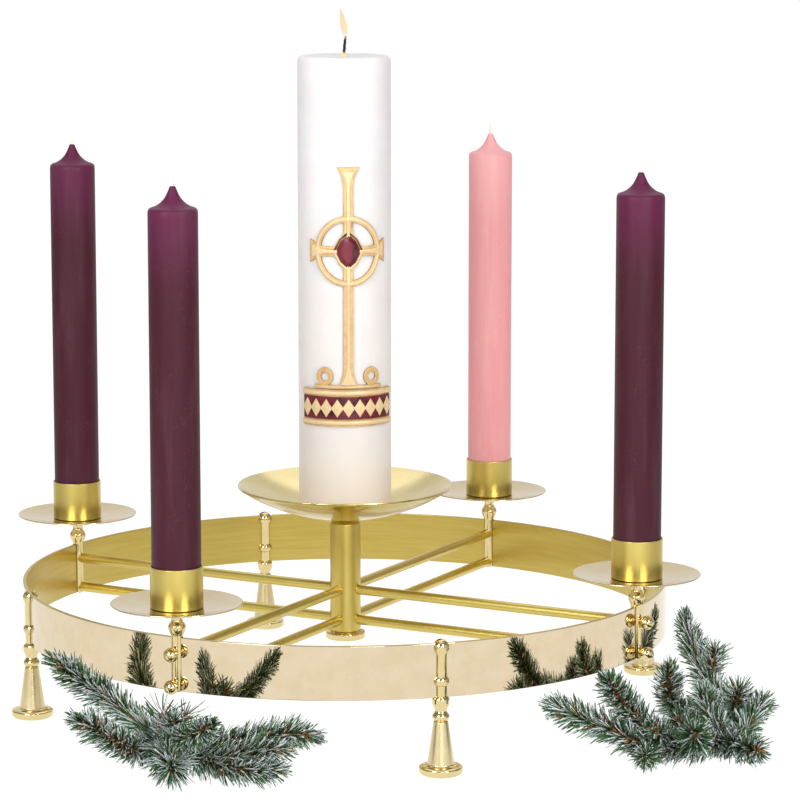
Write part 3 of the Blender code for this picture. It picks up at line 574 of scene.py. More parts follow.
def show(name, mesh, finishes, nodes=(), location=RING_AXIS, turn=0.0, tilt=0.0, smooth_below=38):
    """Put a mesh in the scene as a finished piece that rides on the stand and stands for CAD nodes."""
    if not mesh.materials:
        for finish in finishes:
            mesh.materials.append(LOOKS[finish])
    if smooth_below:
        mesh.shade_smooth()
        mesh.set_sharp_from_angle(angle=math.radians(smooth_below))
    piece = bpy.data.objects.new(name, mesh)
    bpy.context.collection.objects.link(piece)
    piece.location = location
    piece.rotation_euler = (0, tilt, turn)
    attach(piece, "root")
    if nodes:
        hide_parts(*nodes)


def show_round(turns, name, mesh, finishes, node):
    """Show a piece on every arm or over every leg."""
    for index, turn in enumerate(turns):
        show(f"{name}_{index}", mesh, finishes, [f"{node}_{index}"], on_ring(turn), turn)


def opened(mesh):
    bm = bmesh.new()
    bm.from_mesh(mesh)
    return bm


def stored(bm, mesh):
    """Write an edit into a mesh, or into a new one of the given name."""
    if isinstance(mesh, str):
        mesh = bpy.data.meshes.new(mesh)
    bm.to_mesh(mesh)
    bm.free()
    return mesh


def listed(name, verts, faces):
    mesh = bpy.data.meshes.new(name)
    mesh.from_pydata(verts, [], faces)
    return mesh


def outward(mesh):
    """Turn the faces of a closed mesh outwards."""
    bm = opened(mesh)
    bmesh.ops.recalc_face_normals(bm, faces=bm.faces)
    if bm.calc_volume(signed=True) < 0:
        bmesh.ops.reverse_faces(bm, faces=bm.faces)
    return stored(bm, mesh)


def turned(name, profile, sides, loop=False, second=None, **arc):
    """A turned mesh. second says where, by (radius, height), the second finish is used."""
    verts, faces, spots = spin(profile, sides, loop, **arc)
    mesh = listed(name, verts, faces)
    if second:
        mesh.polygons.foreach_set("material_index", [int(second(*spot)) for spot in spots])
    return outward(mesh)


def on_ring(turn, height=0.0, radius=POST_PLACE_R):
    return RING_AXIS + Vector((radius * math.cos(turn), radius * math.sin(turn), height))


def combined(name, meshes, operation):
    """One mesh: the first one with the others added to it or cut out of it."""
    things = [bpy.data.objects.new(name, mesh) for mesh in meshes]
    for thing in things:
        bpy.context.collection.objects.link(thing)
    for other in things[1:]:
        modifier = things[0].modifiers.new(operation, "BOOLEAN")
        modifier.object = other
        modifier.operation = operation
        modifier.solver = "EXACT"
    depsgraph = bpy.context.evaluated_depsgraph_get()
    depsgraph.update()
    made = bpy.data.meshes.new_from_object(things[0].evaluated_get(depsgraph))
    made.name = name
    for thing in things:
        bpy.data.objects.remove(thing, do_unlink=True)
    return made


def slotted(mesh, low, high):
    """Cut the band's slot across a turned piece, from low to high."""
    bm = bmesh.new()
    bmesh.ops.create_cube(bm, size=1.0)
    for vert in bm.verts:
        vert.co = Vector((math.copysign(SLOT_HALF, vert.co.x), math.copysign(SLOT_REACH, vert.co.y),
                          low if vert.co.z < 0 else high))
    return combined(mesh.name, [mesh, stored(bm, "slot_block")], "DIFFERENCE")


def dress_band():
    """The hoop: mirror polished outside, brushed inside and on its edges."""
    inner, outer = BAND_MIDDLE_R - BAND_HALF, BAND_MIDDLE_R + BAND_HALF
    edge = 0.0004
    profile = eased([(inner, BAND_LOW_Z, edge), (outer, BAND_LOW_Z, edge), (outer, BAND_HIGH_Z, edge),
                     (inner, BAND_HIGH_Z, edge)], loop=True)
    mesh = turned("band", profile, 360, loop=True, second=lambda radius, height: radius < outer - 0.0001)
    show("band_of_the_ring", mesh, ["mirror", "brushed"], ["ring"])


def dress_hub():
    """The tube that the rods enter, and the disc screwed under it."""
    profile = eased([(0, HUB_HIGH_Z), (0.0090, HUB_HIGH_Z, 0.0004), (HUB_R, HUB_HIGH_Z - 0.0035, 0.0006),
                     (HUB_R, HUB_LOW_Z, 0.0004), (0, HUB_LOW_Z)])
    show("hub_tube", turned("hub_tube", profile, 96), ["satin"], ["hub"])
    top = HUB_LOW_Z - 0.0001
    profile = eased([(0, top), (0.0125, top, 0.0004), (0.0138, top - 0.0008, 0.0008),
                     (0.0165, top - 0.0012, 0.0016), (0.0165, 0.0484, 0.0018), (0.0130, 0.0474, 0.0008),
                     (0, 0.0474)], steps=6)
    show("hub_disc", turned("hub_disc", profile, 96), ["polished"], ["hub_flange"])


def lip(reach, middle_z, half, first):
    """The round edge of a sheet, from its upper side to its lower."""
    return [Vector((reach + 0.0006 * math.cos(a), middle_z + half * math.sin(a)))
            for a in (first, first / 2, 0, -first / 2, -first)]


def bowl_curve(radius, inset):
    """Height of the centre pan at a radius: inset 0 is its underside."""
    sphere_r = (BOWL_R ** 2 + BOWL_DEPTH ** 2) / (2 * BOWL_DEPTH)
    return BOWL_RIM_Z - BOWL_DEPTH + sphere_r - math.sqrt((sphere_r - inset) ** 2 - radius ** 2)


def dress_centre_pan():
    """A spun bowl: pale inside, glossy underneath in a deeper tone that is painted shade, with a soft rolled
    edge.
    """
    hole_r = 0.0028
    steps = 26
    reach = BOWL_R - 0.0006
    radii = [hole_r + (reach - hole_r) * k / steps for k in range(steps + 1)]
    inside = [Vector((r, bowl_curve(r, BOWL_SHEET))) for r in radii]
    under = [Vector((r, bowl_curve(r, 0.0))) for r in reversed(radii)]
    profile = inside + lip(reach, (inside[-1].y + under[0].y) / 2, 0.0009, 1.1) + under
    # The underside takes the deeper spun brass as painted shade.
    mesh = turned("centre_bowl", profile, 160, loop=True,
                  second=lambda radius, height: height < bowl_curve(min(radius, reach), 0.0006))
    show("centre_bowl", mesh, ["dish", "spun"], ["centre_pan"])


def dress_rods():
    """Round rods that run from the hub into the posts, and ball nuts outside the band."""
    start, end = HUB_R - 0.0010, POST_PLACE_R - 0.0022
    profile = eased([(0, start), (ROD_R, start, 0.0003), (ROD_R, end, 0.0003), (0, end)])
    rod_mesh = turned("rod", profile, 48)
    seat = POST_PLACE_R + POST_R - 0.0006 - NUT_PLACE_R
    seat_turn = math.asin(seat / NUT_R)
    turns = [math.pi / 2 + (seat_turn - math.pi / 2) * k / 20 for k in range(21)]
    profile = [Vector((NUT_R * math.cos(a) if k else 0.0, NUT_R * math.sin(a))) for k, a in enumerate(turns)]
    nut_mesh = turned("ball_nut", [*profile, Vector((0.0, seat))], 48)
    for arm, turn in enumerate(ARM_TURNS):
        for level, height in ROD_HEIGHTS.items():
            name = f"{arm}_{level}"
            show(f"round_rod_{name}", rod_mesh, ["satin"], [f"rod_{name}"],
                 RING_AXIS + Vector((0, 0, height)), turn, math.pi / 2)
            show(f"round_nut_{name}", nut_mesh, ["polished"], [f"ball_nut_{name}"],
                 on_ring(turn, height, NUT_PLACE_R), turn, math.pi / 2)


def dress_posts():
    """The turned posts: a vase under the pan, then a plain shaft slotted over the band."""
    vase = [(0.0050, 0.1240), (0.0046, 0.1215), (0.0043, 0.1175), (0.0044, 0.1152), (0.0051, 0.1138),
            (0.0058, 0.1131), (0.0066, 0.1115), (0.0068, 0.1098), (0.0065, 0.1080), (0.0056, 0.1058),
            (0.0048, 0.1044), (POST_R, 0.1030)]
    profile = [Vector((0, 0.1240)), *flowing(vase, 0.0004),
               *eased([(POST_R, 0.1020), (POST_R, 0.0602, 0.0012), (0.0028, 0.0590, 0.0010), (0, 0.0588)])]
    mesh = slotted(turned("turned_post", profile, 64), 0.0, BAND_HIGH_Z + 0.0003)
    show_round(ARM_TURNS, "turned_post", mesh, ["polished"], "holder_post")


def dress_pans():
    """Drip pans: nearly flat, dished up to a thin rim."""
    reach = PAN_R - 0.0006
    top = [(0.0027, PAN_FLOOR_Z + PAN_SHEET), (0.0200, PAN_FLOOR_Z + PAN_SHEET), (0.0300, 0.1262),
           (0.0400, 0.1276), (0.0470, 0.1288), (reach, PAN_RIM_Z - 0.0001)]
    curve = flowing(top, 0.0020)
    under = [Vector((point.x, point.y - PAN_SHEET)) for point in reversed(curve)]
    profile = curve + lip(reach, PAN_RIM_Z - 0.0007, 0.0006, 1.0) + under
    mesh = turned("drip_pan", profile, 120, loop=True)
    show_round(ARM_TURNS, "drip_pan", mesh, ["pan"], "holder_pan")


def dress_sockets():
    """The cups that hold the tall candles."""
    hole_r = 0.0027
    inner_r = SOCKET_R - 0.0010
    floor = SOCKET_LOW_Z + 0.0020
    edge = 0.0004
    profile = eased([(hole_r, floor), (inner_r, floor, 0.0006), (inner_r, SOCKET_HIGH_Z, edge),
                     (SOCKET_R, SOCKET_HIGH_Z, edge), (SOCKET_R, SOCKET_LOW_Z, 0.0005),
                     (hole_r, SOCKET_LOW_Z)], loop=True)
    mesh = turned("socket_cup", profile, 120, loop=True)
    show_round(ARM_TURNS, "socket_cup", mesh, ["satin"], "socket")


def dress_legs():
    """Finials with a ball, a bead and a collar over cones on round feet."""
    shaft = 0.0046
    ball_r, ball_z, ball_step = 0.0064, 0.0990, 0.1476
    turns = [math.pi / 2 - k * ball_step for k in range(1, 16)]
    ball = [Vector((ball_r * math.cos(a), ball_z + ball_r * math.sin(a))) for a in turns]
    collar = eased([(shaft, 0.0606, 0.0004), (0.0060, 0.0600, 0.0004), (0.0067, 0.0588, 0.0008),
                    (0.0067, 0.0547, 0.0010), (0.0050, 0.0514, 0.0014), (0.0045, 0.0500, 0.0005),
                    (0.0045, 0.0494)])
    profile = [Vector((0, 0.1054)), *ball, Vector((shaft, 0.0940)), Vector((shaft, 0.0770)),
               *bead(0.0728, ball_r, 0.0036, shaft), Vector((shaft, 0.0684)), Vector((shaft, 0.0612)),
               *collar[1:], Vector((0, 0.0494))]
    finial = slotted(turned("finial", profile, 64), BAND_LOW_Z - 0.0003, 0.12)
    cone = eased([(0.0045, 0.0414, 0.0003), (0.0057, 0.0412, 0.0004), (0.0103, 0.0078, 0.0006),
                  (0.0122, 0.0070, 0.0010), (0.0150, 0.0068, 0.0016), (0.0169, 0.0058, 0.0018),
                  (0.0169, 0.0016, 0.0016), (0.0150, 0.0000, 0.0006), (0, 0)], steps=6)
    profile = [Vector((0, 0.0493)), Vector((0.0045, 0.0493)), *bead(0.0450, 0.0067, 0.0032, shaft)[1:],
               *cone[1:]]
    foot = turned("foot", profile, 80, second=lambda radius, height: 0.0076 < height < 0.0416)
    show_round(LEG_TURNS, "ball_finial", finial, ["polished"], "leg_finial")
    show_round(LEG_TURNS, "cone_foot", foot, ["polished", "cone"], "leg_foot")


# Candles
def twisted_wick(name, radius, low, straight, high, lean, twist):
    """A braided cord that stands straight in the wax and leans above it."""
    sides, rings = 18, 26
    verts = []
    for ring in range(rings + 1):
        height = low + (high - low) * ring / rings
        rise = max(0.0, (height - straight) / (high - straight))
        middle = Vector((lean[0] * rise ** 1.6, lean[1] * rise ** 1.6, height))
        taper = 1 - 0.35 * rise ** 3
        for side in range(sides):
            angle = math.tau * side / sides
            bulge = 1 + 0.13 * math.cos(3 * (angle - twist * height))
            verts.append(middle + Vector((math.cos(angle), math.sin(angle), 0)) * radius * bulge * taper)
    faces = [tuple(range(sides)), tuple(range(rings * sides, (rings + 1) * sides))]
    for low in range(0, rings * sides, sides):
        for side in range(sides):
            nxt = (side + 1) % sides
            faces.append((low + side, low + nxt, low + sides + nxt, low + sides + side))
    return outward(listed(name, verts, faces))


def dress_candles():
    """The four tall candles and their wicks."""
    dome = [(CANDLE_R, CANDLE_SHOULDER_Z - 0.0030), (CANDLE_R - 0.0004, CANDLE_SHOULDER_Z - 0.0006),
            (0.0172, CANDLE_SHOULDER_Z + 0.0009), (0.0136, CANDLE_SHOULDER_Z + 0.0022),
            (0.0098, CANDLE_SHOULDER_Z + 0.0046), (0.0062, CANDLE_SHOULDER_Z + 0.0085),
            (0.0036, CANDLE_SHOULDER_Z + 0.0135), (0.0022, CANDLE_TIP_Z - 0.0006), (0.0013, CANDLE_TIP_Z)]
    body = eased([(0, CANDLE_LOW_Z), (CANDLE_R, CANDLE_LOW_Z, 0.0008), (CANDLE_R, 0.2000)])
    column = [Vector((CANDLE_R, 0.2000 + 0.0450 * k)) for k in range(1, 6)]
    profile = [*body, *column, *flowing(dome, 0.0009), Vector((0, CANDLE_TIP_Z - 0.0002))]
    mesh = turned("tall_candle", profile, 96)
    pink = mesh.copy()
    for arm, turn in enumerate(ARM_TURNS):
        wax = "pink_wax" if arm == PINK_ARM else "purple_wax"
        show(f"tall_candle_{arm}", pink if arm == PINK_ARM else mesh, [wax], [f"candle_{arm}"],
             on_ring(turn), turn)
        lean_turn = math.radians(70 + 110 * arm)
        lean = (0.0016 * math.cos(lean_turn), 0.0016 * math.sin(lean_turn))
        wick = twisted_wick("wick", 0.00105, CANDLE_TIP_Z - 0.0097, CANDLE_TIP_Z,
                            CANDLE_TIP_Z + WICK_RISE, lean, 900)
        show(f"braided_wick_{arm}", wick, ["cotton_wick"], [f"wick_{arm}"],
             on_ring(turn), turn)


def dress_thick_candle():
    """The thick candle with its softened top edge, burnt wick and flame."""
    base_z = bowl_curve(THICK_R, BOWL_SHEET) + 0.0003
    edge = [(THICK_R, THICK_TOP_Z - 0.0045), (THICK_R - 0.0004, THICK_TOP_Z - 0.0024),
            (THICK_R - 0.0016, THICK_TOP_Z - 0.0008), (0.0335, THICK_TOP_Z), (0.0240, THICK_TOP_Z - 0.0004),
            (0.0100, THICK_TOP_Z - 0.0010), (0.0040, THICK_TOP_Z - 0.0012)]
    column = [Vector((THICK_R, 0.2 + 0.06 * k)) for k in range(6)]
    profile = [Vector((0, 0.1900)), Vector((0.0026, 0.1800)),
               *eased([(0.0032, base_z), (THICK_R, base_z, 0.0008), (THICK_R, 0.18)]), *column,
               *flowing(edge, 0.0010), Vector((0, THICK_TOP_Z - 0.0012))]
    show("thick_candle", turned("thick_candle", profile, 128), ["white_wax"], ["centre_candle"])
    wick = twisted_wick("thick_wick", 0.0012, THICK_TOP_Z - 0.0110, THICK_TOP_Z, THICK_WICK_TOP_Z,
                        (0.0012, 0.0005), 500)
    show("charred_wick", wick, ["burnt_wick"], ["centre_wick"])
    low = THICK_WICK_TOP_Z - 0.0025
    outline = [(0.0, low), (0.0011, low + 0.0008), (0.0021, low + 0.0042), (0.0027, low + 0.0085),
               (0.0026, low + 0.0125), (0.0020, low + 0.0175), (0.0011, low + 0.0225),
               (0.0004, FLAME_TOP_Z - 0.0012), (0.0, FLAME_TOP_Z)]
    flame = turned("flame", flowing(outline, 0.0008), 32)
    for vert in flame.vertices:
        rise = max(0.0, (vert.co.z - low) / (FLAME_TOP_Z - low))
        vert.co.x += 0.0012 - 0.0040 * rise ** 1.3
        vert.co.y += 0.0005 - 0.0021 * rise ** 1.3
    show("flame", flame, ["flame"])


# Emblem on the thick candle
def wrapped(mesh):
    """Bend a flat design round the thick candle: X becomes the arc and -Y stands out from the wax."""
    for vert in mesh.vertices:
        radius = EMBLEM_BACK_R - vert.co.y
        angle = vert.co.x / EMBLEM_FACE_R + EMBLEM_TURN
        vert.co = Vector((radius * math.sin(angle), -radius * math.cos(angle), vert.co.z))
    return mesh


def plate(name, outline, depth, near=0.0, edge=0.0004):
    """A flat plate of an (x, z) outline with a rounded front edge, standing out of the wax."""
    bm = bmesh.new()
    face = bm.faces.new([bm.verts.new((x, -near, z)) for x, z in outline])
    made = bmesh.ops.extrude_face_region(bm, geom=[face])
    front = [item for item in made["geom"] if isinstance(item, bmesh.types.BMVert)]
    bmesh.ops.translate(bm, verts=front, vec=(0, -depth, 0))
    if edge:
        rim = [item for item in made["geom"] if isinstance(item, bmesh.types.BMEdge)]
        bmesh.ops.bevel(bm, geom=rim, offset=edge, segments=3, profile=0.5, affect="EDGES")
    bmesh.ops.recalc_face_normals(bm, faces=bm.faces)
    return stored(bm, name)


def sliced(mesh, half_width, step):
    """Split a flat design along upright lines, so that it bends smoothly."""
    bm = opened(mesh)
    count = int(half_width / step)
    for line in range(-count, count + 1):
        everything = list(bm.verts) + list(bm.edges) + list(bm.faces)
        bmesh.ops.bisect_plane(bm, geom=everything, plane_co=(line * step, 0, 0), plane_no=(1, 0, 0))
    bmesh.ops.triangulate(bm, faces=[face for face in bm.faces if len(face.verts) > 4])
    return stored(bm, mesh)


def hoop(name, middle, radii, depth, sides=72):
    """A flat ring with a rounded face, round a middle (x, z) in the plane of the design."""
    inner, outer = radii
    rounding = (outer - inner) * 0.4
    profile = eased([(inner, 0), (outer, 0), (outer, depth, rounding), (inner, depth, rounding)], loop=True)
    mesh = turned(name, profile, sides, loop=True)
    mesh.transform(Matrix.Translation((middle[0], 0, middle[1])) @ Matrix.Rotation(math.pi / 2, 4, "X"))
    return mesh


def stone_outline(scale):
    """An upright eight-sided stone round the crossing."""
    half_x, half_z = (scale * half for half in STONE_HALF)
    shoulder = 0.6
    quarter = [(0, -half_z), (shoulder * half_x, -shoulder * half_z), (half_x, 0),
               (shoulder * half_x, shoulder * half_z)]
    return [(sign * x, CROSSING_Z + sign * z) for sign in (1, -1) for x, z in quarter]


def limb(name, turn, reach, half_width, half_flare, depth, near=0.0, edge=0.0005):
    """One limb of the cross, turned round the crossing, with a curved flare at its end."""
    flare = 0.0180
    curve = [(reach - flare + flare * t, half_width + (half_flare - half_width) * t ** 2.4)
             for t in (0.0, 0.25, 0.45, 0.62, 0.76, 0.88, 1.0)]
    outline = [(0.0, -half_width), *[(x, -half) for x, half in curve],
               *[(x, half) for x, half in reversed(curve)], (0.0, half_width)]
    c, s = math.cos(turn), math.sin(turn)
    return plate(name, [(x * c - z * s, CROSSING_Z + x * s + z * c) for x, z in outline], depth, near, edge)


def collar(name, outer_scale, inner_scale, depth, near):
    """A raised rim round the stone."""
    outer, inner = stone_outline(outer_scale), stone_outline(inner_scale)
    bm = bmesh.new()
    crest = stone_outline((outer_scale + inner_scale) / 2)
    steps = ((outer, 0.0), (outer, 0.6), (crest, 1.0), (inner, 0.7), (inner, 0.0))
    loops = [[bm.verts.new((x, -near - share * depth, z)) for x, z in outline] for outline, share in steps]
    for low, high in zip(loops, loops[1:] + loops[:1]):
        for k in range(len(low)):
            nxt = (k + 1) % len(low)
            bm.faces.new((low[k], low[nxt], high[nxt], high[k]))
    bmesh.ops.recalc_face_normals(bm, faces=bm.faces)
    return stored(bm, name)


def cross_meshes(depth):
    """The limbs with their raised ridges, the halo, the stone's plate and rim, the plinth and roundels."""
    half_width = 0.0040
    foot = CROSS_FOOT_Z
    limbs = ((CROSS_REACH, 0.0095), (CROSS_TOP_Z - CROSSING_Z, 0.0095), (CROSS_REACH, 0.0095),
             (CROSSING_Z - foot, 0.0105))
    meshes = []
    for quarter, (reach, half_flare) in enumerate(limbs):
        turn = quarter * math.pi / 2
        meshes.append(limb("limb", turn, reach, half_width, half_flare, depth))
        meshes.append(limb("ridge", turn, reach - 0.0032, 0.0013, half_flare - 0.0040, 0.0012,
                           depth - 0.0003))
    meshes.append(hoop("halo", (0, CROSSING_Z), HALO_R, depth + 0.0003))
    bead_r = (HALO_R[0] + 0.0013, HALO_R[1] - 0.0013)
    meshes.append(hoop("halo_bead", (0, CROSSING_Z), bead_r, depth + 0.0010))
    meshes.append(plate("stone_plate", stone_outline(1.25), depth + 0.0002, edge=0.0004))
    meshes.append(collar("stone_rim", 1.19, 1.03, 0.0011, depth - 0.0003))
    for half, low, high, out in ((0.0300, 0.0, 0.0030, depth), (0.0240, 0.0006, 0.0024, depth + 0.0006)):
        step = [(-half, foot + low), (half, foot + low), (half, foot + high), (-half, foot + high)]
        meshes.append(plate("plinth", step, out))
    roundel_z = foot + 0.0030 + ROUNDEL_R[1] - 0.0008
    for x in (-ROUNDEL_X, ROUNDEL_X):
        meshes.append(hoop("roundel", (x, roundel_z), ROUNDEL_R, depth, 40))
    return meshes


def dress_emblem():
    """A ringed cross with a red stone, over a moulding with a red ground and gold lozenges."""
    depth = EMBLEM_FACE_R - EMBLEM_BACK_R
    cross = combined("ringed_cross", cross_meshes(depth), "UNION")
    show("ringed_cross", wrapped(sliced(cross, CROSS_REACH, 0.0015)), ["gold_relief"],
         ["emblem_cross"])
    stone = plate("red_stone", stone_outline(1.0), 0.0022, depth + 0.0003, 0.0)
    for vert in stone.vertices:
        if vert.co.y < -(depth + 0.0010):
            vert.co.x *= 0.62
            vert.co.z = CROSSING_Z + (vert.co.z - CROSSING_Z) * 0.66
    show("red_stone", wrapped(sliced(stone, STONE_HALF[0], 0.0021)), ["red_relief"],
         ["emblem_gem"], smooth_below=12)

    first = EMBLEM_TURN - MOULDING_SPAN / 2 - math.pi / 2
    back_r = EMBLEM_BACK_R + 0.0010
    ledge = 0.0058
    low_roll = bead((MOULDING_LOW_Z + ledge / 2), 0.0016, 0.0022, 0.0001, 8)
    high_roll = [Vector((point.x, point.y + MOULDING_HIGH_Z - MOULDING_LOW_Z - ledge)) for point in low_roll]
    roll_r = 0.0400
    edge_r = roll_r + 0.0002
    profile = [Vector((EMBLEM_BACK_R, MOULDING_LOW_Z)), Vector((edge_r, MOULDING_LOW_Z)),
               *[Vector((roll_r + point.x, point.y)) for point in reversed(low_roll)],
               Vector((edge_r, MOULDING_LOW_Z + ledge - 0.0004)), Vector((back_r, MOULDING_LOW_Z + ledge)),
               Vector((back_r, MOULDING_HIGH_Z - ledge)),
               Vector((edge_r, MOULDING_HIGH_Z - ledge + 0.0004)),
               *[Vector((roll_r + point.x, point.y)) for point in reversed(high_roll)],
               Vector((edge_r, MOULDING_HIGH_Z)), Vector((EMBLEM_BACK_R, MOULDING_HIGH_Z))]
    mesh = turned("moulding", profile, 80, loop=True, span=MOULDING_SPAN, first=first)
    show("moulding", mesh, ["gold_relief"], ["emblem_band"])

    ground_r = back_r + 0.0003
    face_r = ground_r + 0.0006
    inset = math.radians(1.0)
    low, high = MOULDING_LOW_Z + ledge + 0.0003, MOULDING_HIGH_Z - ledge - 0.0003
    profile = eased([(ground_r, low), (face_r, low, 0.0002), (face_r, high, 0.0002), (ground_r, high)],
                    loop=True)
    mesh = turned("red_ground", profile, 80, loop=True, span=MOULDING_SPAN - 2 * inset, first=first + inset)
    show("red_ground", mesh, ["red_relief"], ["emblem_ground"])
    dress_lozenges(face_r + 0.0003, MOULDING_SPAN - 4 * inset, (low + high) / 2, (high - low) / 2 - 0.0016)


def dress_lozenges(radius, span, middle, half_height):
    """A chain of gold lozenges on the red ground, each with a small round boss."""
    count, neck, depth, boss_r = 9, 0.0007, 0.0007, 0.0013
    half_pitch = span * EMBLEM_FACE_R / count / 2
    stations = [(-count + k) * half_pitch for k in range(2 * count + 1)]
    halves = [half_height if k % 2 else neck for k in range(2 * count + 1)]
    outline = [(x, middle - half) for x, half in zip(stations, halves)]
    outline += [(x, middle + half) for x, half in reversed(list(zip(stations, halves)))]
    near = radius - EMBLEM_BACK_R
    meshes = [plate("chain", outline, depth, near, 0.0002)]
    for k in range(count):
        x = stations[2 * k + 1]
        turns = [math.tau * i / 16 for i in range(16)]
        boss = [(x + boss_r * math.cos(a), middle + boss_r * math.sin(a)) for a in turns]
        meshes.append(plate("boss", boss, 0.0006, near + depth - 0.0002, 0.0004))
    chain = wrapped(sliced(combined("lozenges", meshes, "UNION"), count * half_pitch, 0.0016))
    show("lozenge_chain", chain, ["gold_relief"], ["emblem_lozenges"])


# Pine sprays
def square_to(direction):
    """Two unit vectors square to a direction and to each other."""
    helper = Vector((0, 0, 1)) if abs(direction.z) < 0.9 else Vector((1, 0, 0))
    across = direction.cross(helper).normalized()
    return across, direction.cross(across).normalized()


def hits_stand(point):
    """Whether a point, in the front view's frame, lies in or right beside the brass stand."""
    radius = math.hypot(point.x, point.y)
    margin = 0.0010
    if abs(radius - BAND_MIDDLE_R) < BAND_HALF + margin:
        if BAND_LOW_Z - margin < point.z < BAND_HIGH_Z + margin:
            return True
    for index, turn in enumerate(sorted(ARM_TURNS + LEG_TURNS)):
        angle = turn - FRONT_TURN
        off = math.hypot(point.x - POST_PLACE_R * math.cos(angle), point.y - POST_PLACE_R * math.sin(angle))
        if index % 2:
            reach = 0.0170 if point.z < 0.008 else 0.0105
            if off < (reach if point.z < 0.042 else 0.0067) + margin:
                return True
        elif point.z > BAND_LOW_Z - 0.004 and off < 0.016 + margin:
            return True
    return False


class Spray:
    """Collects the twigs and needles of one spray as lists for a mesh."""

    def __init__(self, seed):
        self.rng = random.Random(seed)
        self.verts = []
        self.faces = []
        self.maps = []
        self.kinds = []

    def add_face(self, corners, along, kind):
        self.faces.append(corners)
        self.maps += along
        self.kinds.append(kind)

    def twig(self, path, radius):
        """A tube along the path, closed at both ends, with a bumpy bark."""
        sides = 8
        first = len(self.verts)
        last = len(path) - 1
        for i, point in enumerate(path):
            direction = (path[min(i + 1, last)] - path[max(i - 1, 0)]).normalized()
            across, up = square_to(direction)
            for k in range(sides):
                angle = math.tau * k / sides + i * 0.5
                reach = radius * (1 - 0.5 * i / last) * self.rng.uniform(0.8, 1.15)
                self.verts.append(point + reach * (across * math.cos(angle) + up * math.sin(angle)))
        for i in range(last):
            for k in range(sides):
                near, far = first + i * sides, first + (i + 1) * sides
                nxt = (k + 1) % sides
                self.add_face((near + k, near + nxt, far + nxt, far + k), [(0.0, 0.0)] * 4, 1)
        self.add_face(tuple(range(first, first + sides)), [(0.0, 0.0)] * sides, 1)
        end = first + last * sides
        self.add_face(tuple(range(end, end + sides)), [(0.0, 0.0)] * sides, 1)

    def needle(self, root, tip, sag, width, frost):
        """A flat three-sided needle that bends a little on its way to its tip."""
        direction = (tip - root).normalized()
        across, up = square_to(direction)
        turn = self.rng.uniform(0, math.tau)
        wide = (across * math.cos(turn) + up * math.sin(turn)) * width / 2
        thick = (up * math.cos(turn) - across * math.sin(turn)) * width * 0.3
        first = len(self.verts)
        stations = ((root, 0.0, 0.7), (root.lerp(tip, 0.5) + sag, 0.5, 1.0),
                    (root.lerp(tip, 0.88), 0.88, 0.8))
        for centre, _, size in stations:
            self.verts += [centre + wide * size, centre - wide * size, centre + thick * size]
        self.verts.append(tip)
        shares = (frost, frost * 0.5, frost * 0.5)
        for ring, (low, high) in enumerate(zip(stations, stations[1:])):
            base = first + 3 * ring
            for k in range(3):
                nxt = (k + 1) % 3
                corners = [(low[1], shares[k]), (low[1], shares[nxt]),
                           (high[1], shares[nxt]), (high[1], shares[k])]
                self.add_face((base + k, base + nxt, base + 3 + nxt, base + 3 + k), corners, 0)
        for k in range(3):
            nxt = (k + 1) % 3
            corners = [(high[1], shares[k]), (high[1], shares[nxt]), (1.0, frost)]
            self.add_face((first + 6 + k, first + 6 + nxt, first + 9), corners, 0)
        self.add_face((first + 2, first + 1, first), [(0.0, frost)] * 3, 0)

    def brush(self, knots, density=1.0, length=1.0, frosting=0.38):
        """A twig with needles on all sides, leaning forward and closing in at the tip."""
        path = flowing(knots, TWIG_STEP)
        self.twig(path, TWIG_R)
        last = len(path) - 1
        reach = last * TWIG_STEP
        count = int(reach * NEEDLES_PER_METRE * density)
        start_share = 0.04
        rng = self.rng
        for k in range(count):
            share = start_share + (1 - start_share) * (k + rng.random()) / count
            spot = share * last
            low = min(int(spot), last - 1)
            root = path[low].lerp(path[low + 1], spot - low)
            direction = (path[min(low + 2, last)] - path[max(low - 1, 0)]).normalized()
            across, up = square_to(direction)
            angle = k * GOLDEN_ANGLE + rng.uniform(-0.5, 0.5)
            outward = across * math.cos(angle) + up * math.sin(angle)
            lean = math.radians(rng.gauss(54, 9)) * (1 - 0.55 * max(0.0, (share - 0.90) / 0.10))
            blunt = 1 - 0.40 * max(0.0, (share - 0.80) / 0.20)
            is_brown = rng.random() < BROWN_SHARE
            size = NEEDLE_LENGTH * length * blunt
            size *= rng.uniform(0.30, 0.60) if is_brown else rng.uniform(0.68, 1.12)
            tip = root + size * (direction * math.cos(lean) + outward * math.sin(lean))
            if tip.z < LOWEST_TIP_Z:
                tip.z = LOWEST_TIP_Z + rng.random() * 0.002
            if any(hits_stand(root.lerp(tip, step / 6)) for step in range(1, 7)):
                continue
            sag = direction * rng.uniform(-0.0012, 0.0004) + outward * rng.uniform(-0.0004, 0.0008)
            dusted = rng.random() < frosting * (1.35 - 0.75 * outward.y + 0.35 * outward.z)
            frost = 0.0 if is_brown else rng.uniform(0.60, 1.00) if dusted else rng.uniform(0.15, 0.35)
            width = NEEDLE_WIDTH * rng.uniform(0.8, 1.15)
            self.needle(root + outward * TWIG_R * 0.35, tip, sag, width, frost)

    def mesh(self, name):
        mesh = listed(name, self.verts, self.faces)
        mesh.polygons.foreach_set("material_index", self.kinds)
        layer = mesh.uv_layers.new(name="needle")
        layer.uv.foreach_set("vector", [number for pair in self.maps for number in pair])
        return mesh


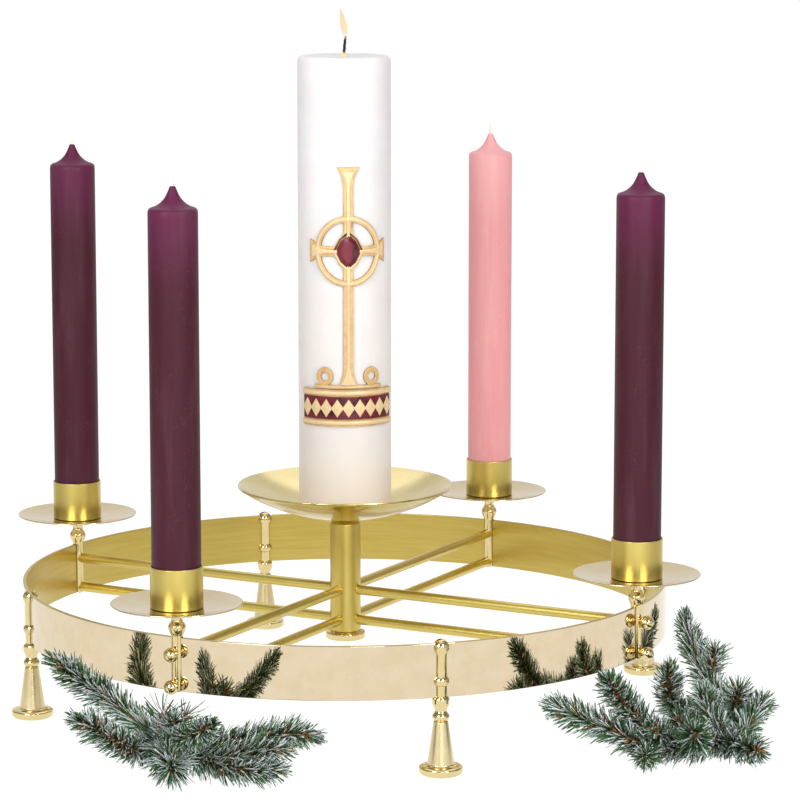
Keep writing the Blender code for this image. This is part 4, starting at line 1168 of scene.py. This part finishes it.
def dress_spray(name, branches, seed, node, fillers, tufts=()):
    """A spray: its branches, then short full twigs and thin tufts that close its gaps."""
    spray = Spray(seed)
    for branch, knots in branches.items():
        spray.brush(knots, **HABITS.get(branch, {}))
    for knots in fillers:
        spray.brush(knots, density=0.8, frosting=0.45)
    for knots in tufts:
        spray.brush(knots, density=0.30, length=1.2, frosting=0.15)
    mesh = spray.mesh(name)
    bm = opened(mesh)
    bmesh.ops.recalc_face_normals(bm, faces=bm.faces)
    bm.transform(Matrix.Rotation(FRONT_TURN, 4, "Z"))
    show(name, stored(bm, mesh), ["needle", "twig"], [node], smooth_below=0)


# Floor, light and camera
def lay_floor():
    bm = bmesh.new()
    bmesh.ops.create_circle(bm, cap_ends=True, radius=40.0, segments=96)
    mesh = stored(bm, "floor")
    mesh.materials.append(LOOKS["floor"])
    floor = bpy.data.objects.new("floor", mesh)
    floor.location.z = -0.0002
    bpy.context.collection.objects.link(floor)


def soft_box(name, azimuth, elevation, size, power, distance=2.2):
    """An area light that faces the wreath: azimuth is from the camera's side, in degrees."""
    data = bpy.data.lights.new(name, "AREA")
    data.shape = "RECTANGLE"
    data.size, data.size_y = size
    data.energy = power
    lamp = bpy.data.objects.new(name, data)
    turn = FRONT_TURN + math.radians(azimuth)
    rise = math.radians(elevation)
    away = Vector((math.sin(turn) * math.cos(rise), -math.cos(turn) * math.cos(rise), math.sin(rise)))
    lamp.location = RING_AXIS + Vector((0, 0, 0.2)) + away * distance
    lamp.rotation_euler = (-away).to_track_quat("-Z", "Y").to_euler()
    bpy.context.collection.objects.link(lamp)


def paper_studio():
    """White paper behind and overhead, a low pale wall behind the camera and a dim room above it."""
    world = bpy.data.worlds.new("studio")
    world.use_nodes = True
    tree = world.node_tree
    air = Air(tree)
    x, y, z = air.axes(air.node("TexCoord", output="Generated"))
    away = y * math.cos(FRONT_TURN) - x * math.sin(FRONT_TURN)
    glow = DIM_ROOM + away.between(0.25, 0.95) * PAPER_BEHIND + z.between(0.45, 0.95) * PAPER_ABOVE
    glow = glow + (1.0 - away.between(-0.2, 0.6)) * (1.0 - z.between(0.30, 0.60)) * LOW_WALL
    seen = air.node("LightPath", output="Is Camera Ray")
    strength = glow * (1.0 - seen) + seen
    tree.links.new(strength.socket, tree.nodes["Background"].inputs["Strength"])
    tree.nodes["Background"].inputs["Color"].default_value = (1.0, 1.0, 1.0, 1.0)
    return world


def set_light():
    bpy.context.scene.world = paper_studio()
    soft_box("left_box", -32, 26, (0.75, 1.3), 25)
    soft_box("right_box", 32, 26, (0.42, 1.3), 20)
    soft_box("top_box", 10, 80, (1.4, 1.4), 4)
    soft_box("front_box", 8, 7, (0.45, 0.5), 5, 2.4)
    soft_box("back_box", 180, 60, (2.2, 1.4), 7)
    bpy.context.scene.view_settings.view_transform = "Standard"


def set_camera():
    """The photograph's viewpoint: a long lens, a little above, turned off the arms."""
    pitch = math.radians(9.2)
    distance = 2.9035
    side_step = 0.0454
    aim_z = 0.2458
    right = Vector((math.cos(FRONT_TURN), math.sin(FRONT_TURN), 0))
    back = Vector((math.sin(FRONT_TURN) * math.cos(pitch), -math.cos(FRONT_TURN) * math.cos(pitch),
                   math.sin(pitch)))
    aim = RING_AXIS + Vector((0, 0, aim_z)) + right * side_step
    data = bpy.data.cameras.new("camera")
    data.sensor_width = 36.0
    data.lens = 157.35
    data.clip_start, data.clip_end = 0.1, 100.0
    camera = bpy.data.objects.new("camera", data)
    camera.location = aim + back * distance
    camera.rotation_euler = (-back).to_track_quat("-Z", "Y").to_euler()
    bpy.context.collection.objects.link(camera)
    bpy.context.scene.camera = camera


def mix_finishes():
    for name, low, high, roughness in BRIGHT_BRASS:
        LOOKS[name] = bright_brass(name + "_brass", low, high, roughness)
    LOOKS["satin"] = satin_brass()
    LOOKS["brushed"] = brushed_band()
    # The second colour of each wax is its painted lighter top, and the last number how strongly it is
    # painted.
    LOOKS["purple_wax"] = dyed_wax("purple_wax", (0.050, 0.005, 0.014), (0.110, 0.010, 0.050),
                                   (0.105, 0.042, 0.060), 0.9)
    LOOKS["pink_wax"] = dyed_wax("pink_wax", (0.790, 0.330, 0.340), (0.830, 0.400, 0.410),
                                 (0.850, 0.510, 0.490), 0.8)
    LOOKS["white_wax"] = white_wax()
    LOOKS["gold_relief"] = gold_relief()
    LOOKS["red_relief"] = red_relief()
    LOOKS["cotton_wick"] = cotton_wick()
    LOOKS["burnt_wick"] = burnt_wick()
    LOOKS["flame"] = candle_flame()
    LOOKS["needle"] = pine_needle()
    LOOKS["twig"] = twig_bark()
    LOOKS["floor"] = pale_floor()


def main():
    mix_finishes()
    lay_floor()
    set_light()
    set_camera()
    dress_band()
    dress_hub()
    dress_centre_pan()
    dress_rods()
    dress_posts()
    dress_pans()
    dress_sockets()
    dress_legs()
    dress_candles()
    dress_thick_candle()
    dress_emblem()
    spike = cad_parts["centre_spike"]
    spike.data.materials.clear()
    spike.data.materials.append(LOOKS["satin"])
    dress_spray("spray_left", LEFT_BRANCHES, SPRAY_SEED, "pine_spray_left", LEFT_FILLERS, LEFT_TUFTS)
    dress_spray("spray_right", RIGHT_BRANCHES, SPRAY_SEED + 1, "pine_spray_right", RIGHT_FILLERS)


main()
